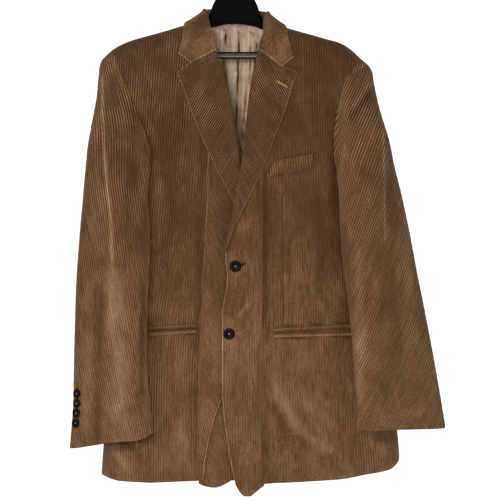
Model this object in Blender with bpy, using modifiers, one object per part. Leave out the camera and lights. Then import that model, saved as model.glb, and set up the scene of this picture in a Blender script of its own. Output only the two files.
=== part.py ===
"""A single-breasted two-button blazer of wide-wale corduroy, hanging on a suit hanger.

The model is in metres with +Z up. The front faces -Y and the wearer's left is at +X. The origin is
the inside top of the hanger's hook, where a rod holds it. Tables and helpers work in millimetres.

Every cloth piece is a wall whose outer side is a grid of points. The grids of neighbouring pieces
share the points of their seam and the normals there, so their edges stay parallel and a seam's gap
apart.
"""
import bmesh
import bpy
import math
import numpy as np
from mathutils import Vector
from mathutils.bvhtree import BVHTree

MM = 0.001
TINY = 1e-9                     # keeps a division off zero
RIGHT, LEFT = -1, 1             # the wearer's sides, by the sign of X
SIDES = ((RIGHT, "right"), (LEFT, "left"))

CLOTH = 2.0                     # corduroy with its interlining
LINING = 1.0                    # satin
SEAM_GAP = 0.3                  # between two pieces that are sewn together
SLEEVE_SEAM_GAP = 0.5           # where the sleeve's seams twist, so that facets stay apart
SEAT_GAP = 0.3                  # between a piece and what it lies on

# ---------------------------------------------------------------- body form

SHOULDER_ROUND = 90.0           # drop over which the cloth rounds from the ridge to full depth
ROUND_POWER = 2.2
SECTION_POWER = 3.0             # squareness of the level section: 2 is an ellipse

# Shoulder ridge: distance out from the centre, and its height on each side.
RIDGE = {"out": (0, 47, 100, 140, 170, 190, 206, 216, 226, 236),
         RIGHT: (-127, -139, -154, -166, -174, -181, -189, -196, -206, -218),
         LEFT: (-127, -142, -158, -169, -178, -185, -197, -207, -217, -228)}

# Level sections: height, half width on each side, depth in front and behind.
BODY = {"z": (-120, -300, -372, -420, -480, -560, -700, -850, -940),
        RIGHT: (238, 208, 190, 183, 183, 191, 208, 225, 231.5),
        LEFT: (242, 212, 198, 192, 197, 213, 246, 280, 287),
        "front": (56, 58, 58, 57, 55, 52, 49, 45, 43),
        "back": (52, 56, 56, 54, 50, 47, 45, 42, 40)}

# Armhole, from its top over the front, the underarm and the back to the top again.
ARMHOLE_TURN = (0, 40, 80, 120, 165, 190, 215, 240, 270, 305, 335, 360)
ARMHOLE = {RIGHT: {"out": (213, 190, 170, 156, 142, 152, 183, 168, 178, 188, 203, 213),
                   "z": (-194, -251, -298, -332, -372, -402, -416, -398, -350, -292, -236, -194)},
           LEFT: {"out": (216, 192, 175, 170, 170, 176, 192, 180, 186, 193, 206, 216),
                  "z": (-207, -246, -301, -343, -378, -403, -416, -398, -350, -298, -246, -207)}}
UNDERARM_TURN = 215             # where the armhole crosses from the front to the back

# Seams of the side panel: how far out the front one and the back one run.
SIDE_SEAM = {"z": (-400, -480, -600, -800, -940),
             (RIGHT, "front"): (152, 155, 155, 150, 147),
             (LEFT, "front"): (176, 180, 190, 209, 219),
             (RIGHT, "back"): (168, 163, 158, 165, 170),
             (LEFT, "back"): (180, 176, 180, 200, 210)}

# Inner line of each front: the roll line down to the break, then the front edge.
BREAK_Z = -545
INNER_LINE = {RIGHT: {"z": (-135, -157, -173, -206, -240, -289, -339, -380, -420, -480, -545, -678, -747,
                            -791, -834, -877, -929),
                      "x": (-47, -44, -36, -28, -17, -5, 2, 9, 12, 14, 13, 13, 4, -22, -37, -47, -55)},
              LEFT: {"z": (-140, -162, -182, -209, -232, -253, -289, -322, -367, -396, -420, -454, -495,
                           -545, -567, -600, -626, -654, -704, -791, -834, -868, -907, -946),
                     "x": (50, 50, 43, 36, 31, 27, 22, 19, 15, 10, 4, -2, -8, -16, -14, -13, -18, -22,
                           -22, -22, -18, -13, -7, 1.5)}}

# The long folds that hang from under the lapels. Each is a step along a level row: the cloth turns
# forward by an angle round a radius, runs on, and turns back round the same radius.
FOLD = {RIGHT: {"z": (-300, -345, -385, -415, -458, -540, -600, -678, -791, -868, -940),
                "edge": (-36, -40, -43, -45, -47, -50, -54, -57, -60, -62, -61),
                "angle": (2, 10, 30, 62, 100, 146, 168, 176, 178, 179, 179),
                "radius": (20, 16, 12, 7.5, 4.8, 3.5, 3.4, 3.4, 3.4, 3.4, 3.4),
                "run": (0.5, 0.5, 0.5, 0.5, 0.8, 3, 10, 20, 38, 50, 57)},
        LEFT: {"z": (-260, -300, -340, -385, -415, -458, -540, -640, -730, -817, -907, -965),
               "edge": (60, 58, 54, 50, 45, 45, 47, 47, 41, 43, 49, 52),
               "angle": (2, 10, 18, 27, 52, 80, 95, 100, 100, 100, 98, 96),
               "radius": (60, 62, 62, 62, 23, 13.2, 10.2, 9, 9, 9, 9, 9),
               "run": (0.5, 0.5, 0.5, 0.5, 0.5, 0.5, 0.5, 0.5, 0.5, 0.5, 0.5, 0.5)}}
FOLD_STEPS = (5, 4, 2, 4, 5)    # steps before the fold, round it, between, round it, after it
FOLD_LIMIT = 0.95               # share of a row that a fold's inner end may reach

# Rows of a front: where each meets the armhole or the side seam, and the inner line.
FRONT_ARM_TURN = (0, 3, 9, 20, 38, 64, 96, 130, 162, 190)
FRONT_ARM_INNER_Z = (None, -147, -154, -165, -179, -195, -228, -270, -318, -366)
NECK_STEPS = 20                 # steps that settle where the inner line meets the ridge
SEAM_ROWS = (-440, -480, -530, -575, -610, -660, -720, -780, -834, -880, -912)
FRONT_SEAM_INNER_Z = (-412, -460, -505, -545, -590, -650, -718, -780, -834, -880, -914)
GORGE_ROW, BREAK_ROW = 5, 13

# Hem of each front along its columns, as a share of the row, and of the panels behind.
FRONT_HEM = {RIGHT: {"share": (0.0, 0.1, 0.2, 0.25, 0.35, 0.45, 0.5, 0.55, 0.65, 0.75, 1.0),
                     "z": (-941.5, -939, -936, -933, -933, -935, -949, -944, -941, -938, -936)},
             LEFT: {"share": (0.0, 0.05, 0.1, 0.2, 0.25, 0.45, 0.55, 0.65, 0.75, 0.8, 0.85, 0.9, 0.95, 1.0),
                    "z": (-929, -935, -937.5, -941, -942.5, -943.5, -944.5, -947, -952, -958.5, -964, -964,
                          -958, -945)}}
SIDE_HEM = {RIGHT: (-941.5, -937, -928, -929, -934), LEFT: (-929, -918, -900, -908, -925)}
BACK_HEM = {RIGHT: (-940, -934), LEFT: (-940, -925)}
HEM_FADE = -700.0               # height at which the hem's curve has faded into level rows

# Rows of a back: armhole turn and inner end on the neckline and the centre seam.
BACK_ARM_TURN = (360, 357, 350, 338, 320, 300, 278, 258, 240)
BACK_NECK_SHARE = (1.0, 0.96, 0.84, 0.63, 0.33, 0.0)   # of the neck's half width
BACK_NECK_DROP = (0.0, 2.0, 5.5, 12.0, 20.0, 26.0)     # below the ridge there
BACK_CENTRE_Z = (-200, -270, -345)
BACK_COLUMNS = 7
SIDE_ARM_TURN = (190, 203, 215, 228, 240)

# ---------------------------------------------------------------- sleeves

SLEEVE = {RIGHT: {"z": (-190, -225, -280, -332, -384, -440, -500, -570, -650, -730, -800, -850, -885),
                  "outer": (212, 233, 242, 249, 256, 261, 266, 272, 275, 277, 278, 282.5, 284.5),
                  "inner": (150, 148, 146, 144, 142, 143, 144, 146, 150, 150, 145, 139, 137),
                  "half": (26, 38, 46, 48, 48, 46, 43, 38, 32, 26, 21, 17, 15),
                  "yaw": (12, 16, 20, 22, 24, 24, 24, 22, 20, 18, 16, 15, 15),
                  "y": (-8, -14, -22, -28, -34, -40, -45, -50, -54, -57, -58, -58, -58)},
          LEFT: {"z": (-200, -225, -280, -332, -384, -440, -500, -570, -650, -730, -800, -850, -885),
                 "outer": (216, 238, 250.5, 261, 272, 286, 299, 312, 328, 343, 355, 363, 366),
                 "inner": (160, 164, 168, 170, 171, 174, 179, 186, 196, 203, 207, 208, 208),
                 "half": (24, 36, 46, 48, 48, 46, 43, 38, 32, 26, 21, 17, 15),
                 "yaw": (12, 16, 20, 22, 24, 24, 24, 22, 20, 18, 16, 15, 15),
                 "y": (-8, -14, -22, -28, -34, -40, -45, -50, -54, -57, -58, -58, -58)}}
CUFF = {"turn": (0, 45, 90, 135, 180, 225, 270, 315, 360),
        RIGHT: (-882, -881, -871, -865, -853, -860, -868, -877, -882),
        LEFT: (-846, -848, -849, -851, -846, -850, -850, -848, -846)}
SLEEVE_POWER = 2.4              # squareness of a sleeve's section
CAP_BLEND = 105.0               # drop over which the armhole's outline fades into the sleeve
BODY_CLEARANCE = 5.0            # from a sleeve to the body that it hangs against
CLEARANCE_DROP = 35.0           # below the armhole, where that clearance is full
PUSH_SOFTNESS = 0.05            # how softly that push sets in, as a share of the distance out
TOP_SLEEVE_TURN = (-10, -3, 0, 3, 9, 20, 38, 64, 96, 130, 162, 190)
UNDER_SLEEVE_TURN = (190, 203, 215, 228, 240, 258, 278, 300, 320, 338, 350)
SLEEVE_ROWS = (0.0, 0.03, 0.07, 0.12, 0.18, 0.26, 0.35, 0.46, 0.57, 0.68, 0.79, 0.9, 1.0)

# ---------------------------------------------------------------- lapels and collar

ROLL_RADIUS = 4.0               # outside of the roll, from the inside of the front round to the leaf
ROLL_START = 1.0                # straight bit between the front's edge and the roll
ROLL_TURN = (0, 45, 90, 135, 180)
ROLL_OPENS = 60.0               # height over which the roll opens above the break
LEAF_LIFT = 4.1                 # outer face of a lapel's edge above the front
ROLL_FADE = 34.0                # distance over which the roll settles to that
LEAF_SHARE = (0.0, 0.16, 0.36, 0.56, 0.78, 1.0)  # columns of a leaf, notch corner at the fourth
NOTCH_COLUMN = 3
RIDGE_STATION = 5               # where the collar passes the shoulder seam

# Lapel outline from its tip to the break, and the corner where it meets the collar.
LAPEL = {RIGHT: {"notch": (-76, -216),
                 "x": (-101, -91, -79, -66, -46, -25, -4, 9, 13.5),
                 "z": (-234, -257, -290, -325, -371, -413, -455, -500, -541)},
         LEFT: {"notch": (80, -222),
                "x": (109, 99, 90, 74, 56, 38, 17, 0, -15),
                "z": (-233, -256, -290, -332, -378, -422, -464, -500, -541)}}

# Collar stations from the gorge to the centre back: how high the stand is, how far it turns up from
# the cloth that it is sewn to (0 runs on with it, 90 stands on it), and the outer edge, on the front
# or the back of the body. The edge's height is the ridge's at the shoulder seam. Curl is how far the
# fall bends back down at the fold (1) instead of running straight to its edge (0).
COLLAR = {"stand": (1.0, 2.0, 4.0, 7.5, 11.0, 14.0, 15.0, 18.0, 22.0, 27.0, 28.0),
          "rise": (0, 10, 24, 42, 58, 72, 66, 54, 38, 22, 16),
          "curl": (1.0, 0.9, 0.75, 0.55, 0.35, 0.2, 0.25, 0.45, 0.7, 0.9, 1.0),
          RIGHT: {"x": (-98, -93, -90, -89, -88, -87, -85, -78, -60, -33, 0),
                  "z": (-200, -186, -172, -162, -157, None, -157, -163, -172, -180, -184)},
          LEFT: {"x": (102, 96, 92, 90, 89, 87, 85, 78, 60, 33, 0),
                 "z": (-207, -191, -177, -166, -160, None, -160, -166, -174, -181, -184)}}
COLLAR_REST = 4.1               # outer face of the collar's fall above the body, at least
COLLAR_BEND = 0.35              # how far the fall runs straight down from the fold before it spreads

# ---------------------------------------------------------------- pockets, buttons, hanger

WELT = 1.5
WELT_SEAT = 0.55                # from a front's points to a welt's underside
FAR = 1000.0                    # further out than any piece
BREAST_WELT = {"top": ((66, -387), (134, -374)), "bottom": ((55, -414), (132, -400))}
HIP_WELT = {(RIGHT, "upper"): (((-150, -673), (-66, -668)), ((-150, -679), (-66, -674))),
            (RIGHT, "lower"): (((-149, -681), (-66, -676)), ((-149, -688), (-66, -682))),
            (LEFT, "upper"): (((66, -676), (202, -669)), ((66, -682), (202, -675))),
            (LEFT, "lower"): (((66, -684), (202, -681)), ((66, -690), (202, -687)))}
WELT_COLUMNS = 6

FRONT_BUTTON = {"radius": 10.0, "thick": 3.6, "segments": 20}
SLEEVE_BUTTON = {"radius": 8.0, "thick": 3.0, "segments": 12}
FRONT_BUTTON_PLACE = {"upper": (1, -568), "lower": (-10, -684)}
SLEEVE_BUTTON_Z = {RIGHT: (-787, -804, -821, -838), LEFT: (-757, -774, -791, -808)}
SLEEVE_BUTTON_TURN = {RIGHT: 35.0, LEFT: -34.0}
HOLE_RADIUS, HOLE_SPREAD = 0.13, 0.27         # as shares of the button's radius
HOLE_SIDES = 5

HANGER = {"out": (0, 13, 20, 27, 34, 39, 43, 49, 60, 80, 110, 140, 170, 190, 202),
          "top": (-83, -84, -88, -96, -107, -117, -130, -150, -154, -158, -164, -172, -182, -192,
                  -204),
          "bottom": (-149, -149.5, -150.5, -152, -153.5, -155, -157, -159, -163, -174, -190, -201, -210,
                     -215, -213),
          "half": (10, 10, 10.5, 11, 11, 11, 11, 11, 11.5, 12.5, 14.5, 17, 18, 17, 10),
          "clear": (0, 0, 0, 0, 0, 0, 0, 2.7, 2.7, 2.7, 2.7, 2.8, 3.2, 5, 9)}
HANGER_CLOTH_FROM = 49          # how far out the cloth covers the arms
# Half of an arm's upright section: share of the half thickness, and drop from the top or rise
# from the bottom.
HANGER_UPPER = ((0.0, 0.0), (0.6, 3.0), (0.88, 7.5), (1.0, 14.0))
HANGER_LOWER = ((1.0, 8.0), (0.8, 2.5), (0.0, 0.0))
BAR = {"top": -197.0, "bottom": -209.0, "half": 4.5, "reach": 172.0}
WIRE = 2.0                      # radius of the hook's wire
HOOK_RADIUS = 20.0              # inside of the hook
LINING_GAP = 2.5                # between the backs and their lining
LINING_HALF = (118.0, 150.0)    # half width at its top and its end
LINING_END = -905.0
# Top of the lining below the ridge: inside the collar's stand at the neck, under the hanger's arms.
LINING_TOP = {"out": (0, 20, 33, 43, 54, 75, 118), "drop": (23, 17, 10, 9, 17, 34, 34)}
LINING_COLUMNS = 17
LINING_ROWS = (0.0, 0.02, 0.05, 0.1, 0.2, 0.35, 0.5, 0.75, 1.0)


# ================================================================ helpers

def smooth(at, known_at, known):
    """Read a table at any place: cubic pieces with slopes that never overshoot the rows."""
    x = np.asarray(known_at, float)
    y = np.asarray(known, float)
    at = np.asarray(at, float)
    if x[0] > x[-1]:
        x, y = x[::-1], y[::-1]
    step = np.diff(x)
    rise = np.diff(y) / step
    slope = np.zeros_like(y)
    same = rise[1:] * rise[:-1] > 0
    w1, w2 = 2 * step[1:] + step[:-1], step[1:] + 2 * step[:-1]
    with np.errstate(divide="ignore", invalid="ignore"):
        mean = (w1 + w2) / (w1 / rise[:-1] + w2 / rise[1:])
    slope[1:-1] = np.where(same, mean, 0.0)
    slope[0], slope[-1] = rise[0], rise[-1]
    k = np.clip(np.searchsorted(x, at) - 1, 0, len(step) - 1)
    t = np.clip((at - x[k]) / step[k], 0.0, 1.0)
    return ((2 * t**3 - 3 * t**2 + 1) * y[k] + (t**3 - 2 * t**2 + t) * step[k] * slope[k]
            + (3 * t**2 - 2 * t**3) * y[k + 1] + (t**3 - t**2) * step[k] * slope[k + 1])


def ease(t):
    """Go from 0 to 1 with level ends."""
    t = np.clip(t, 0.0, 1.0)
    return t * t * (3 - 2 * t)


def ridge(side, out):
    """Height of the shoulder's ridge at a distance out from the centre."""
    return smooth(out, RIDGE["out"], RIDGE[side])


def half_width(side, z):
    return smooth(z, BODY["z"], BODY[side])


def rounding(side, out, z):
    """Share of the full depth that the body has reached at a drop below the ridge."""
    fall = np.clip((ridge(side, out) - z) / SHOULDER_ROUND, 0.0, 1.0)
    return (1 - (1 - fall) ** ROUND_POWER) ** (1 / ROUND_POWER)


def body(side, turn, z):
    """Point of the body: turn is 0 at the centre front, 90 at the side and 180 at the back."""
    turn, z = np.broadcast_arrays(np.asarray(turn, float), np.asarray(z, float))
    sine, cosine = np.sin(np.radians(turn)), np.cos(np.radians(turn))
    out = half_width(side, z) * np.abs(sine) ** (2 / SECTION_POWER)
    depth = np.where(cosine > 0, smooth(z, BODY["z"], BODY["front"]), smooth(z, BODY["z"], BODY["back"]))
    y = -np.sign(cosine) * depth * np.abs(cosine) ** (2 / SECTION_POWER) * rounding(side, out, z)
    return np.stack([side * out, y, z], axis=-1)


def turn_at(side, out, z, face):
    """Turn of the body's point at a distance out, on its front or its back."""
    share = np.clip(np.asarray(out, float) / half_width(side, z), 0.0, 1.0)
    turn = np.degrees(np.arcsin(share ** (SECTION_POWER / 2)))
    return turn if face == "front" else 180 - turn


def on_body(x, z, face="front"):
    """Points of the body's front or back over points of the drawing."""
    x, z = np.broadcast_arrays(np.asarray(x, float), np.asarray(z, float))
    points = np.empty(x.shape + (3,))
    for side in (RIGHT, LEFT):
        here = x < 0 if side == RIGHT else x >= 0
        points[here] = body(side, turn_at(side, np.abs(x[here]), z[here], face), z[here])
    return points


def body_normal(side, turn, z):
    """Outward normal of the body, from small steps round it and down it."""
    step = 0.5
    across = body(side, turn + step, z) - body(side, turn - step, z)
    down = body(side, turn, z - step) - body(side, turn, z)
    normal = np.cross(down, across) * side
    return normal / np.linalg.norm(normal, axis=-1, keepdims=True)


def armhole(side, turn):
    """Points of the armhole's loop."""
    turn = np.mod(np.asarray(turn, float), 360.0)
    rows = np.array(ARMHOLE_TURN, float)
    out, z = np.array(ARMHOLE[side]["out"], float), np.array(ARMHOLE[side]["z"], float)
    z[[0, -1]] = ridge(side, out[0])
    front = turn_at(side, out, z, "front")
    back = turn_at(side, out, z, "back")
    around = np.where(rows < UNDERARM_TURN, front, back)
    around[rows == UNDERARM_TURN] = 90.0
    return body(side, smooth(turn, rows, around), smooth(turn, rows, z))


def back_top(side):
    """The armhole's top as the back reaches it, at a full turn."""
    return armhole(side, 0.0)


def inner_x(side, z):
    """Edge of a front panel: behind the roll above the break, at the front edge below it."""
    line = INNER_LINE[side]
    set_back = (ROLL_RADIUS + SEAM_GAP + ROLL_START) * ease((z - BREAK_Z) / ROLL_OPENS)
    return smooth(z, line["z"], line["x"]) + side * set_back


def neck_point(side):
    """Where the front's inner line meets the ridge, found by stepping from one to the other."""
    out = abs(float(INNER_LINE[side]["x"][0]))
    for _ in range(NECK_STEPS):
        out = abs(float(inner_x(side, ridge(side, out))))
    return side * out, float(ridge(side, out))


def fold_row(side, z, x_outer, x_inner):
    """x and lift along one row of a front, from its outer end to its inner one."""
    fold = FOLD[side]
    edge, angle, radius, run = (float(smooth(z, fold["z"], fold[column]))
                                for column in ("edge", "angle", "radius", "run"))
    angle = math.radians(angle)
    inward = -side
    p0, p1 = inward * x_outer, inward * x_inner
    second = min(inward * edge + radius * math.sin(min(angle, math.pi / 2)), p0 + FOLD_LIMIT * (p1 - p0))
    first = second - 2 * radius * math.sin(angle) - run * math.cos(angle)
    height = 2 * radius * (1 - math.cos(angle)) + run * math.sin(angle)
    before, turning, between, back, after = FOLD_STEPS
    a = angle * np.linspace(0, 1, turning + 1)
    b = angle * np.linspace(1, 0, back + 1)
    outer = np.linspace(0, 1, before + 1)[:-1]
    inner = np.linspace(0, 1, after + 1)[1:]
    forward, lift_forward = first + radius * np.sin(a), radius * (1 - np.cos(a))
    backward, lift_backward = second - radius * np.sin(b), height - radius * (1 - np.cos(b))
    along = np.linspace(0, 1, between + 1)[1:-1]
    p = np.concatenate([p0 + (first - p0) * outer, forward, forward[-1] + (backward[0] - forward[-1]) * along,
                        backward, second + (p1 - second) * inner])
    lift = np.concatenate([0 * outer, lift_forward,
                           lift_forward[-1] + (lift_backward[0] - lift_forward[-1]) * along, lift_backward,
                           height + 0 * inner])
    return inward * p, lift


def face_of(grid, outward):
    """A grid's faces, ready to be met by a straight line or by the nearest point."""
    rows, columns = grid.shape[:2]
    index = np.arange(rows * columns).reshape(rows, columns)
    quads = np.stack([index[:-1, :-1], index[1:, :-1], index[1:, 1:], index[:-1, 1:]], axis=-1)
    return BVHTree.FromPolygons(grid.reshape(-1, 3).tolist(), quads[..., ::-outward].reshape(-1, 4).tolist())


def on_front(face, x, z, lift):
    """Points over a front's foremost layer, moved out from its face."""
    x, z, lift = np.broadcast_arrays(*(np.asarray(value, float) for value in (x, z, lift)))
    points = np.stack([x, np.zeros(x.shape), z], axis=-1)
    for place in np.ndindex(x.shape):
        start = Vector((x[place], -FAR, z[place]))
        met = face.ray_cast(start, Vector((0.0, 1.0, 0.0)))[0]
        if met is None:
            met = face.find_nearest(Vector((x[place], -SHOULDER_ROUND, z[place])))[0]
        points[place][1] = met.y - lift[place]
    return points


# ================================================================ grids of the pieces

def row_heights(side, x, x_in, z_in, x_out, z_out, level):
    """Heights along a row: straight, but riding on the ridge's curve as far as it isn't level."""
    share = (x - x_in) / (x_out - x_in)
    line = z_in + (z_out - z_in) * share
    top = ridge(side, np.abs(x))
    top_in, top_out = ridge(side, abs(x_in)), ridge(side, abs(x_out))
    return line + (1 - level) * (top - top_in - (top_out - top_in) * share)


def front_grid(side):
    """Rows from the shoulder seam to the hem, columns from the armhole and side seam inwards."""
    neck_x, neck_z = neck_point(side)
    ends = []
    for turn, z_in in zip(FRONT_ARM_TURN, FRONT_ARM_INNER_Z):
        x_out, _, z_out = armhole(side, turn)
        z_in = neck_z if z_in is None else z_in
        ends.append((x_out, z_out, float(inner_x(side, z_in)), z_in))
    for z_out, z_in in zip(SEAM_ROWS, FRONT_SEAM_INNER_Z):
        ends.append((side * float(smooth(z_out, SIDE_SEAM["z"], SIDE_SEAM[side, "front"])), z_out,
                     float(inner_x(side, z_in)), z_in))
    hem = FRONT_HEM[side]
    ends.append((side * float(smooth(hem["z"][0], SIDE_SEAM["z"], SIDE_SEAM[side, "front"])), hem["z"][0],
                 float(inner_x(side, hem["z"][-1])), hem["z"][-1]))
    grid = []
    for number, (x_out, z_out, x_in, z_in) in enumerate(ends):
        x, lift = fold_row(side, z_in, x_out, x_in)
        level = ease((neck_z - z_in) / (2 * SHOULDER_ROUND))
        z = row_heights(side, x, x_in, z_in, x_out, z_out, float(level))
        if number == len(ends) - 1:
            z = smooth(np.linspace(0, 1, len(x)), hem["share"], hem["z"])
        points = on_body(x, z)
        points[:, 1] -= lift
        grid.append(points)
    return np.array(grid)


def back_grid(side):
    """Rows from the shoulder and neck to the hem, columns from the centre seam outwards."""
    neck_x, neck_z = neck_point(side)
    ends = []
    for share, drop, turn in zip(BACK_NECK_SHARE, BACK_NECK_DROP, BACK_ARM_TURN):
        x_in = neck_x * share
        ends.append((x_in, float(ridge(side, abs(x_in))) - drop, turn))
    ends += [(0.0, z_in, turn) for z_in, turn in zip(BACK_CENTRE_Z, BACK_ARM_TURN[len(ends):])]
    rows = []
    for x_in, z_in, turn in ends:
        end = armhole(side, turn % 360) if turn < 360 else back_top(side)
        outer = turn_at(side, abs(end[0]), end[2], "back")
        rows.append((turn_at(side, abs(x_in), z_in, "back"), z_in, outer, end[2]))
    for z in SEAM_ROWS + (None,):
        z_in, z_out = (z, z) if z is not None else BACK_HEM[side]
        seam = smooth(z_out, SIDE_SEAM["z"], SIDE_SEAM[side, "back"])
        rows.append((180.0, z_in, float(turn_at(side, seam, z_out, "back")), z_out))
    grid = []
    for number, (turn_in, z_in, turn_out, z_out) in enumerate(rows):
        share = np.linspace(0, 1, BACK_COLUMNS)
        level = float(ease(number / len(ends)))
        x = body(side, turn_in + (turn_out - turn_in) * share, z_in + (z_out - z_in) * share)[:, 0]
        z = row_heights(side, x, x[0], z_in, x[-1], z_out, level)
        points = body(side, turn_at(side, np.abs(x), z, "back"), z)
        grid.append(points)
    return np.array(grid)


def side_grid(side):
    """Rows from the underarm to the hem, columns from the front seam round to the back one."""
    top = armhole(side, np.array(SIDE_ARM_TURN))
    grid = [top]
    share = np.linspace(0, 1, len(SIDE_ARM_TURN))
    hem = np.array(SIDE_HEM[side], float)
    line = hem[0] + (hem[-1] - hem[0]) * share
    for z in SEAM_ROWS + (None,):
        heights = hem
        if z is not None:       # the hem's curve fades into level rows
            heights = z + (hem - line) * ease((HEM_FADE - z) / (HEM_FADE - hem[0]))
        first, last = (turn_at(side, smooth(z_end, SIDE_SEAM["z"], SIDE_SEAM[side, face]), z_end, face)
                       for z_end, face in ((heights[0], "front"), (heights[-1], "back")))
        grid.append(body(side, first + (last - first) * share, heights))
    return np.array(grid)


def tube(side, turn, z):
    """Point of the hanging sleeve: a squared oval, turned so that its inner edge is forward."""
    table = SLEEVE[side]
    outer, inner, half, yaw, y = (smooth(z, table["z"], table[column])
                                  for column in ("outer", "inner", "half", "yaw", "y"))
    yaw = np.radians(yaw)
    dual = SLEEVE_POWER / (SLEEVE_POWER - 1)
    reach = (outer - inner) / 2
    length = (reach ** dual - (half * np.sin(yaw)) ** dual) ** (1 / dual) / np.cos(yaw)
    angle = np.radians(turn)
    cosine, sine = np.cos(angle), np.sin(angle)
    along = length * np.sign(cosine) * np.abs(cosine) ** (2 / SLEEVE_POWER)
    forward = half * np.sign(sine) * np.abs(sine) ** (2 / SLEEVE_POWER)
    out = (outer + inner) / 2 + along * np.cos(yaw) + forward * np.sin(yaw)
    return np.stack([side * out, y + along * np.sin(yaw) - forward * np.cos(yaw), z], axis=-1)


def clear_of_body(side, points, clearance):
    """Push points that reach into the body's section out of it, by the clearance."""
    z = points[..., 2]
    wide = half_width(side, z) + clearance
    deep = np.where(points[..., 1] < 0, smooth(z, BODY["z"], BODY["front"]),
                    smooth(z, BODY["z"], BODY["back"])) + clearance
    out = np.clip(side * points[..., 0], 1.0, None)
    reach = (out / wide) ** SECTION_POWER + (np.abs(points[..., 1]) / deep) ** SECTION_POWER
    reach = reach ** (1 / SECTION_POWER)
    excess = 1.0 / reach - 1.0
    push = 1.0 + (excess + np.hypot(excess, PUSH_SOFTNESS)) / 2
    moved = points.copy()
    moved[..., 0] *= push
    moved[..., 1] *= push
    return moved


def sleeve_grid(side, turns):
    """Rows from the armhole to the cuff, columns round the arm."""
    turn = np.array(turns, float)
    start = armhole(side, turn)
    cuff = smooth(np.mod(turn, 360.0), CUFF["turn"], CUFF[side])
    grid = []
    for share in SLEEVE_ROWS:
        z = start[:, 2] + (cuff - start[:, 2]) * share
        drop = start[:, 2] - z
        fade = 1 - ease(drop / CAP_BLEND)
        points = tube(side, turn, z) + (start - tube(side, turn, start[:, 2])) * fade[:, None]
        points[:, 2] = z
        points = clear_of_body(side, points, BODY_CLEARANCE * np.clip(drop / CLEARANCE_DROP, 0, 1)) \
            if share > 0 else start
        grid.append(points)
    return np.array(grid)


def roll_columns(base, inward, outward):
    """The first columns of a leaf: from the front's edge, round the roll, to above the front."""
    start = base + inward * SEAM_GAP / 2
    centre = start + inward * ROLL_START + outward * ROLL_RADIUS
    arc = [centre + ROLL_RADIUS * (math.sin(angle) * inward - math.cos(angle) * outward)
           for angle in np.radians(ROLL_TURN)]
    return [start] + arc


def leaf_row(side, face, z_in, corner, tip):
    """One row of a lapel or of the collar's end: the roll, then the leaf to its outer edge."""
    x_in = float(inner_x(side, z_in))
    base = on_front(face, x_in, z_in, -CLOTH)
    inward, outward = np.array([-side, 0.0, 0.0]), np.array([0.0, -1.0, 0.0])
    points = roll_columns(base, inward, outward)
    share = np.array(LEAF_SHARE[1:])
    if corner is None:
        x = x_in + (tip[0] - x_in) * share
        z = z_in + (tip[1] - z_in) * share
    else:
        bend = LEAF_SHARE[NOTCH_COLUMN]
        x = np.interp(share, (0, bend, 1), (x_in, corner[0], tip[0]))
        z = np.interp(share, (0, bend, 1), (z_in, corner[1], tip[1]))
    away = np.hypot(x - x_in, z - z_in)
    extra = 2 * ROLL_RADIUS - CLOTH - LEAF_LIFT
    lift = LEAF_LIFT + extra * (1 - ease(away / ROLL_FADE))
    return np.array(points + list(on_front(face, x, z, lift)))


def lapel_grid(side, face):
    """Rows from the gorge down the roll line to the break."""
    rows_z = (FRONT_ARM_INNER_Z + FRONT_SEAM_INNER_Z)[GORGE_ROW:BREAK_ROW + 1]
    shape = LAPEL[side]
    grid = [leaf_row(side, face, rows_z[0], shape["notch"], (shape["x"][0], shape["z"][0]))]
    for number, z_in in enumerate(rows_z[1:], start=1):
        z_in = max(z_in, BREAK_Z + 2.0)
        grid.append(leaf_row(side, face, z_in, None, (shape["x"][number], shape["z"][number])))
    return np.array(grid)


def keep_off(points, faces, distance):
    """Move points that are nearer to a face than a distance, or under it, out along its normal."""
    moved = np.array(points, float)
    for point in moved:
        for face in faces:
            near, normal, _, _ = face.find_nearest(Vector(point))
            normal = np.array(normal)
            height = float(np.dot(point - np.array(near), normal))
            if height < distance and np.linalg.norm(point - np.array(near)) < 4 * distance:
                point += normal * (distance - height)
    return moved


def neckline(side):
    """Stations of the neckline from the gorge to the centre back: points and surface normals."""
    neck_x, neck_z = neck_point(side)
    points, normals = [], []
    for z in FRONT_ARM_INNER_Z[GORGE_ROW:0:-1]:
        turn = float(turn_at(side, abs(float(inner_x(side, z))), z, "front"))
        points.append(body(side, turn, z))
        normals.append(body_normal(side, turn, z))
    points.append(np.array([neck_x, 0.0, neck_z]))
    normals.append(ridge_normal(side, np.array([neck_x]))[0])
    for share, drop in zip(BACK_NECK_SHARE[1:], BACK_NECK_DROP[1:]):
        x = neck_x * share
        z = float(ridge(side, abs(x))) - drop
        turn = float(turn_at(side, abs(x), z, "back"))
        points.append(body(side, turn, z))
        normals.append(body_normal(side, turn, z))
    return np.array(points), np.array(normals)


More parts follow.
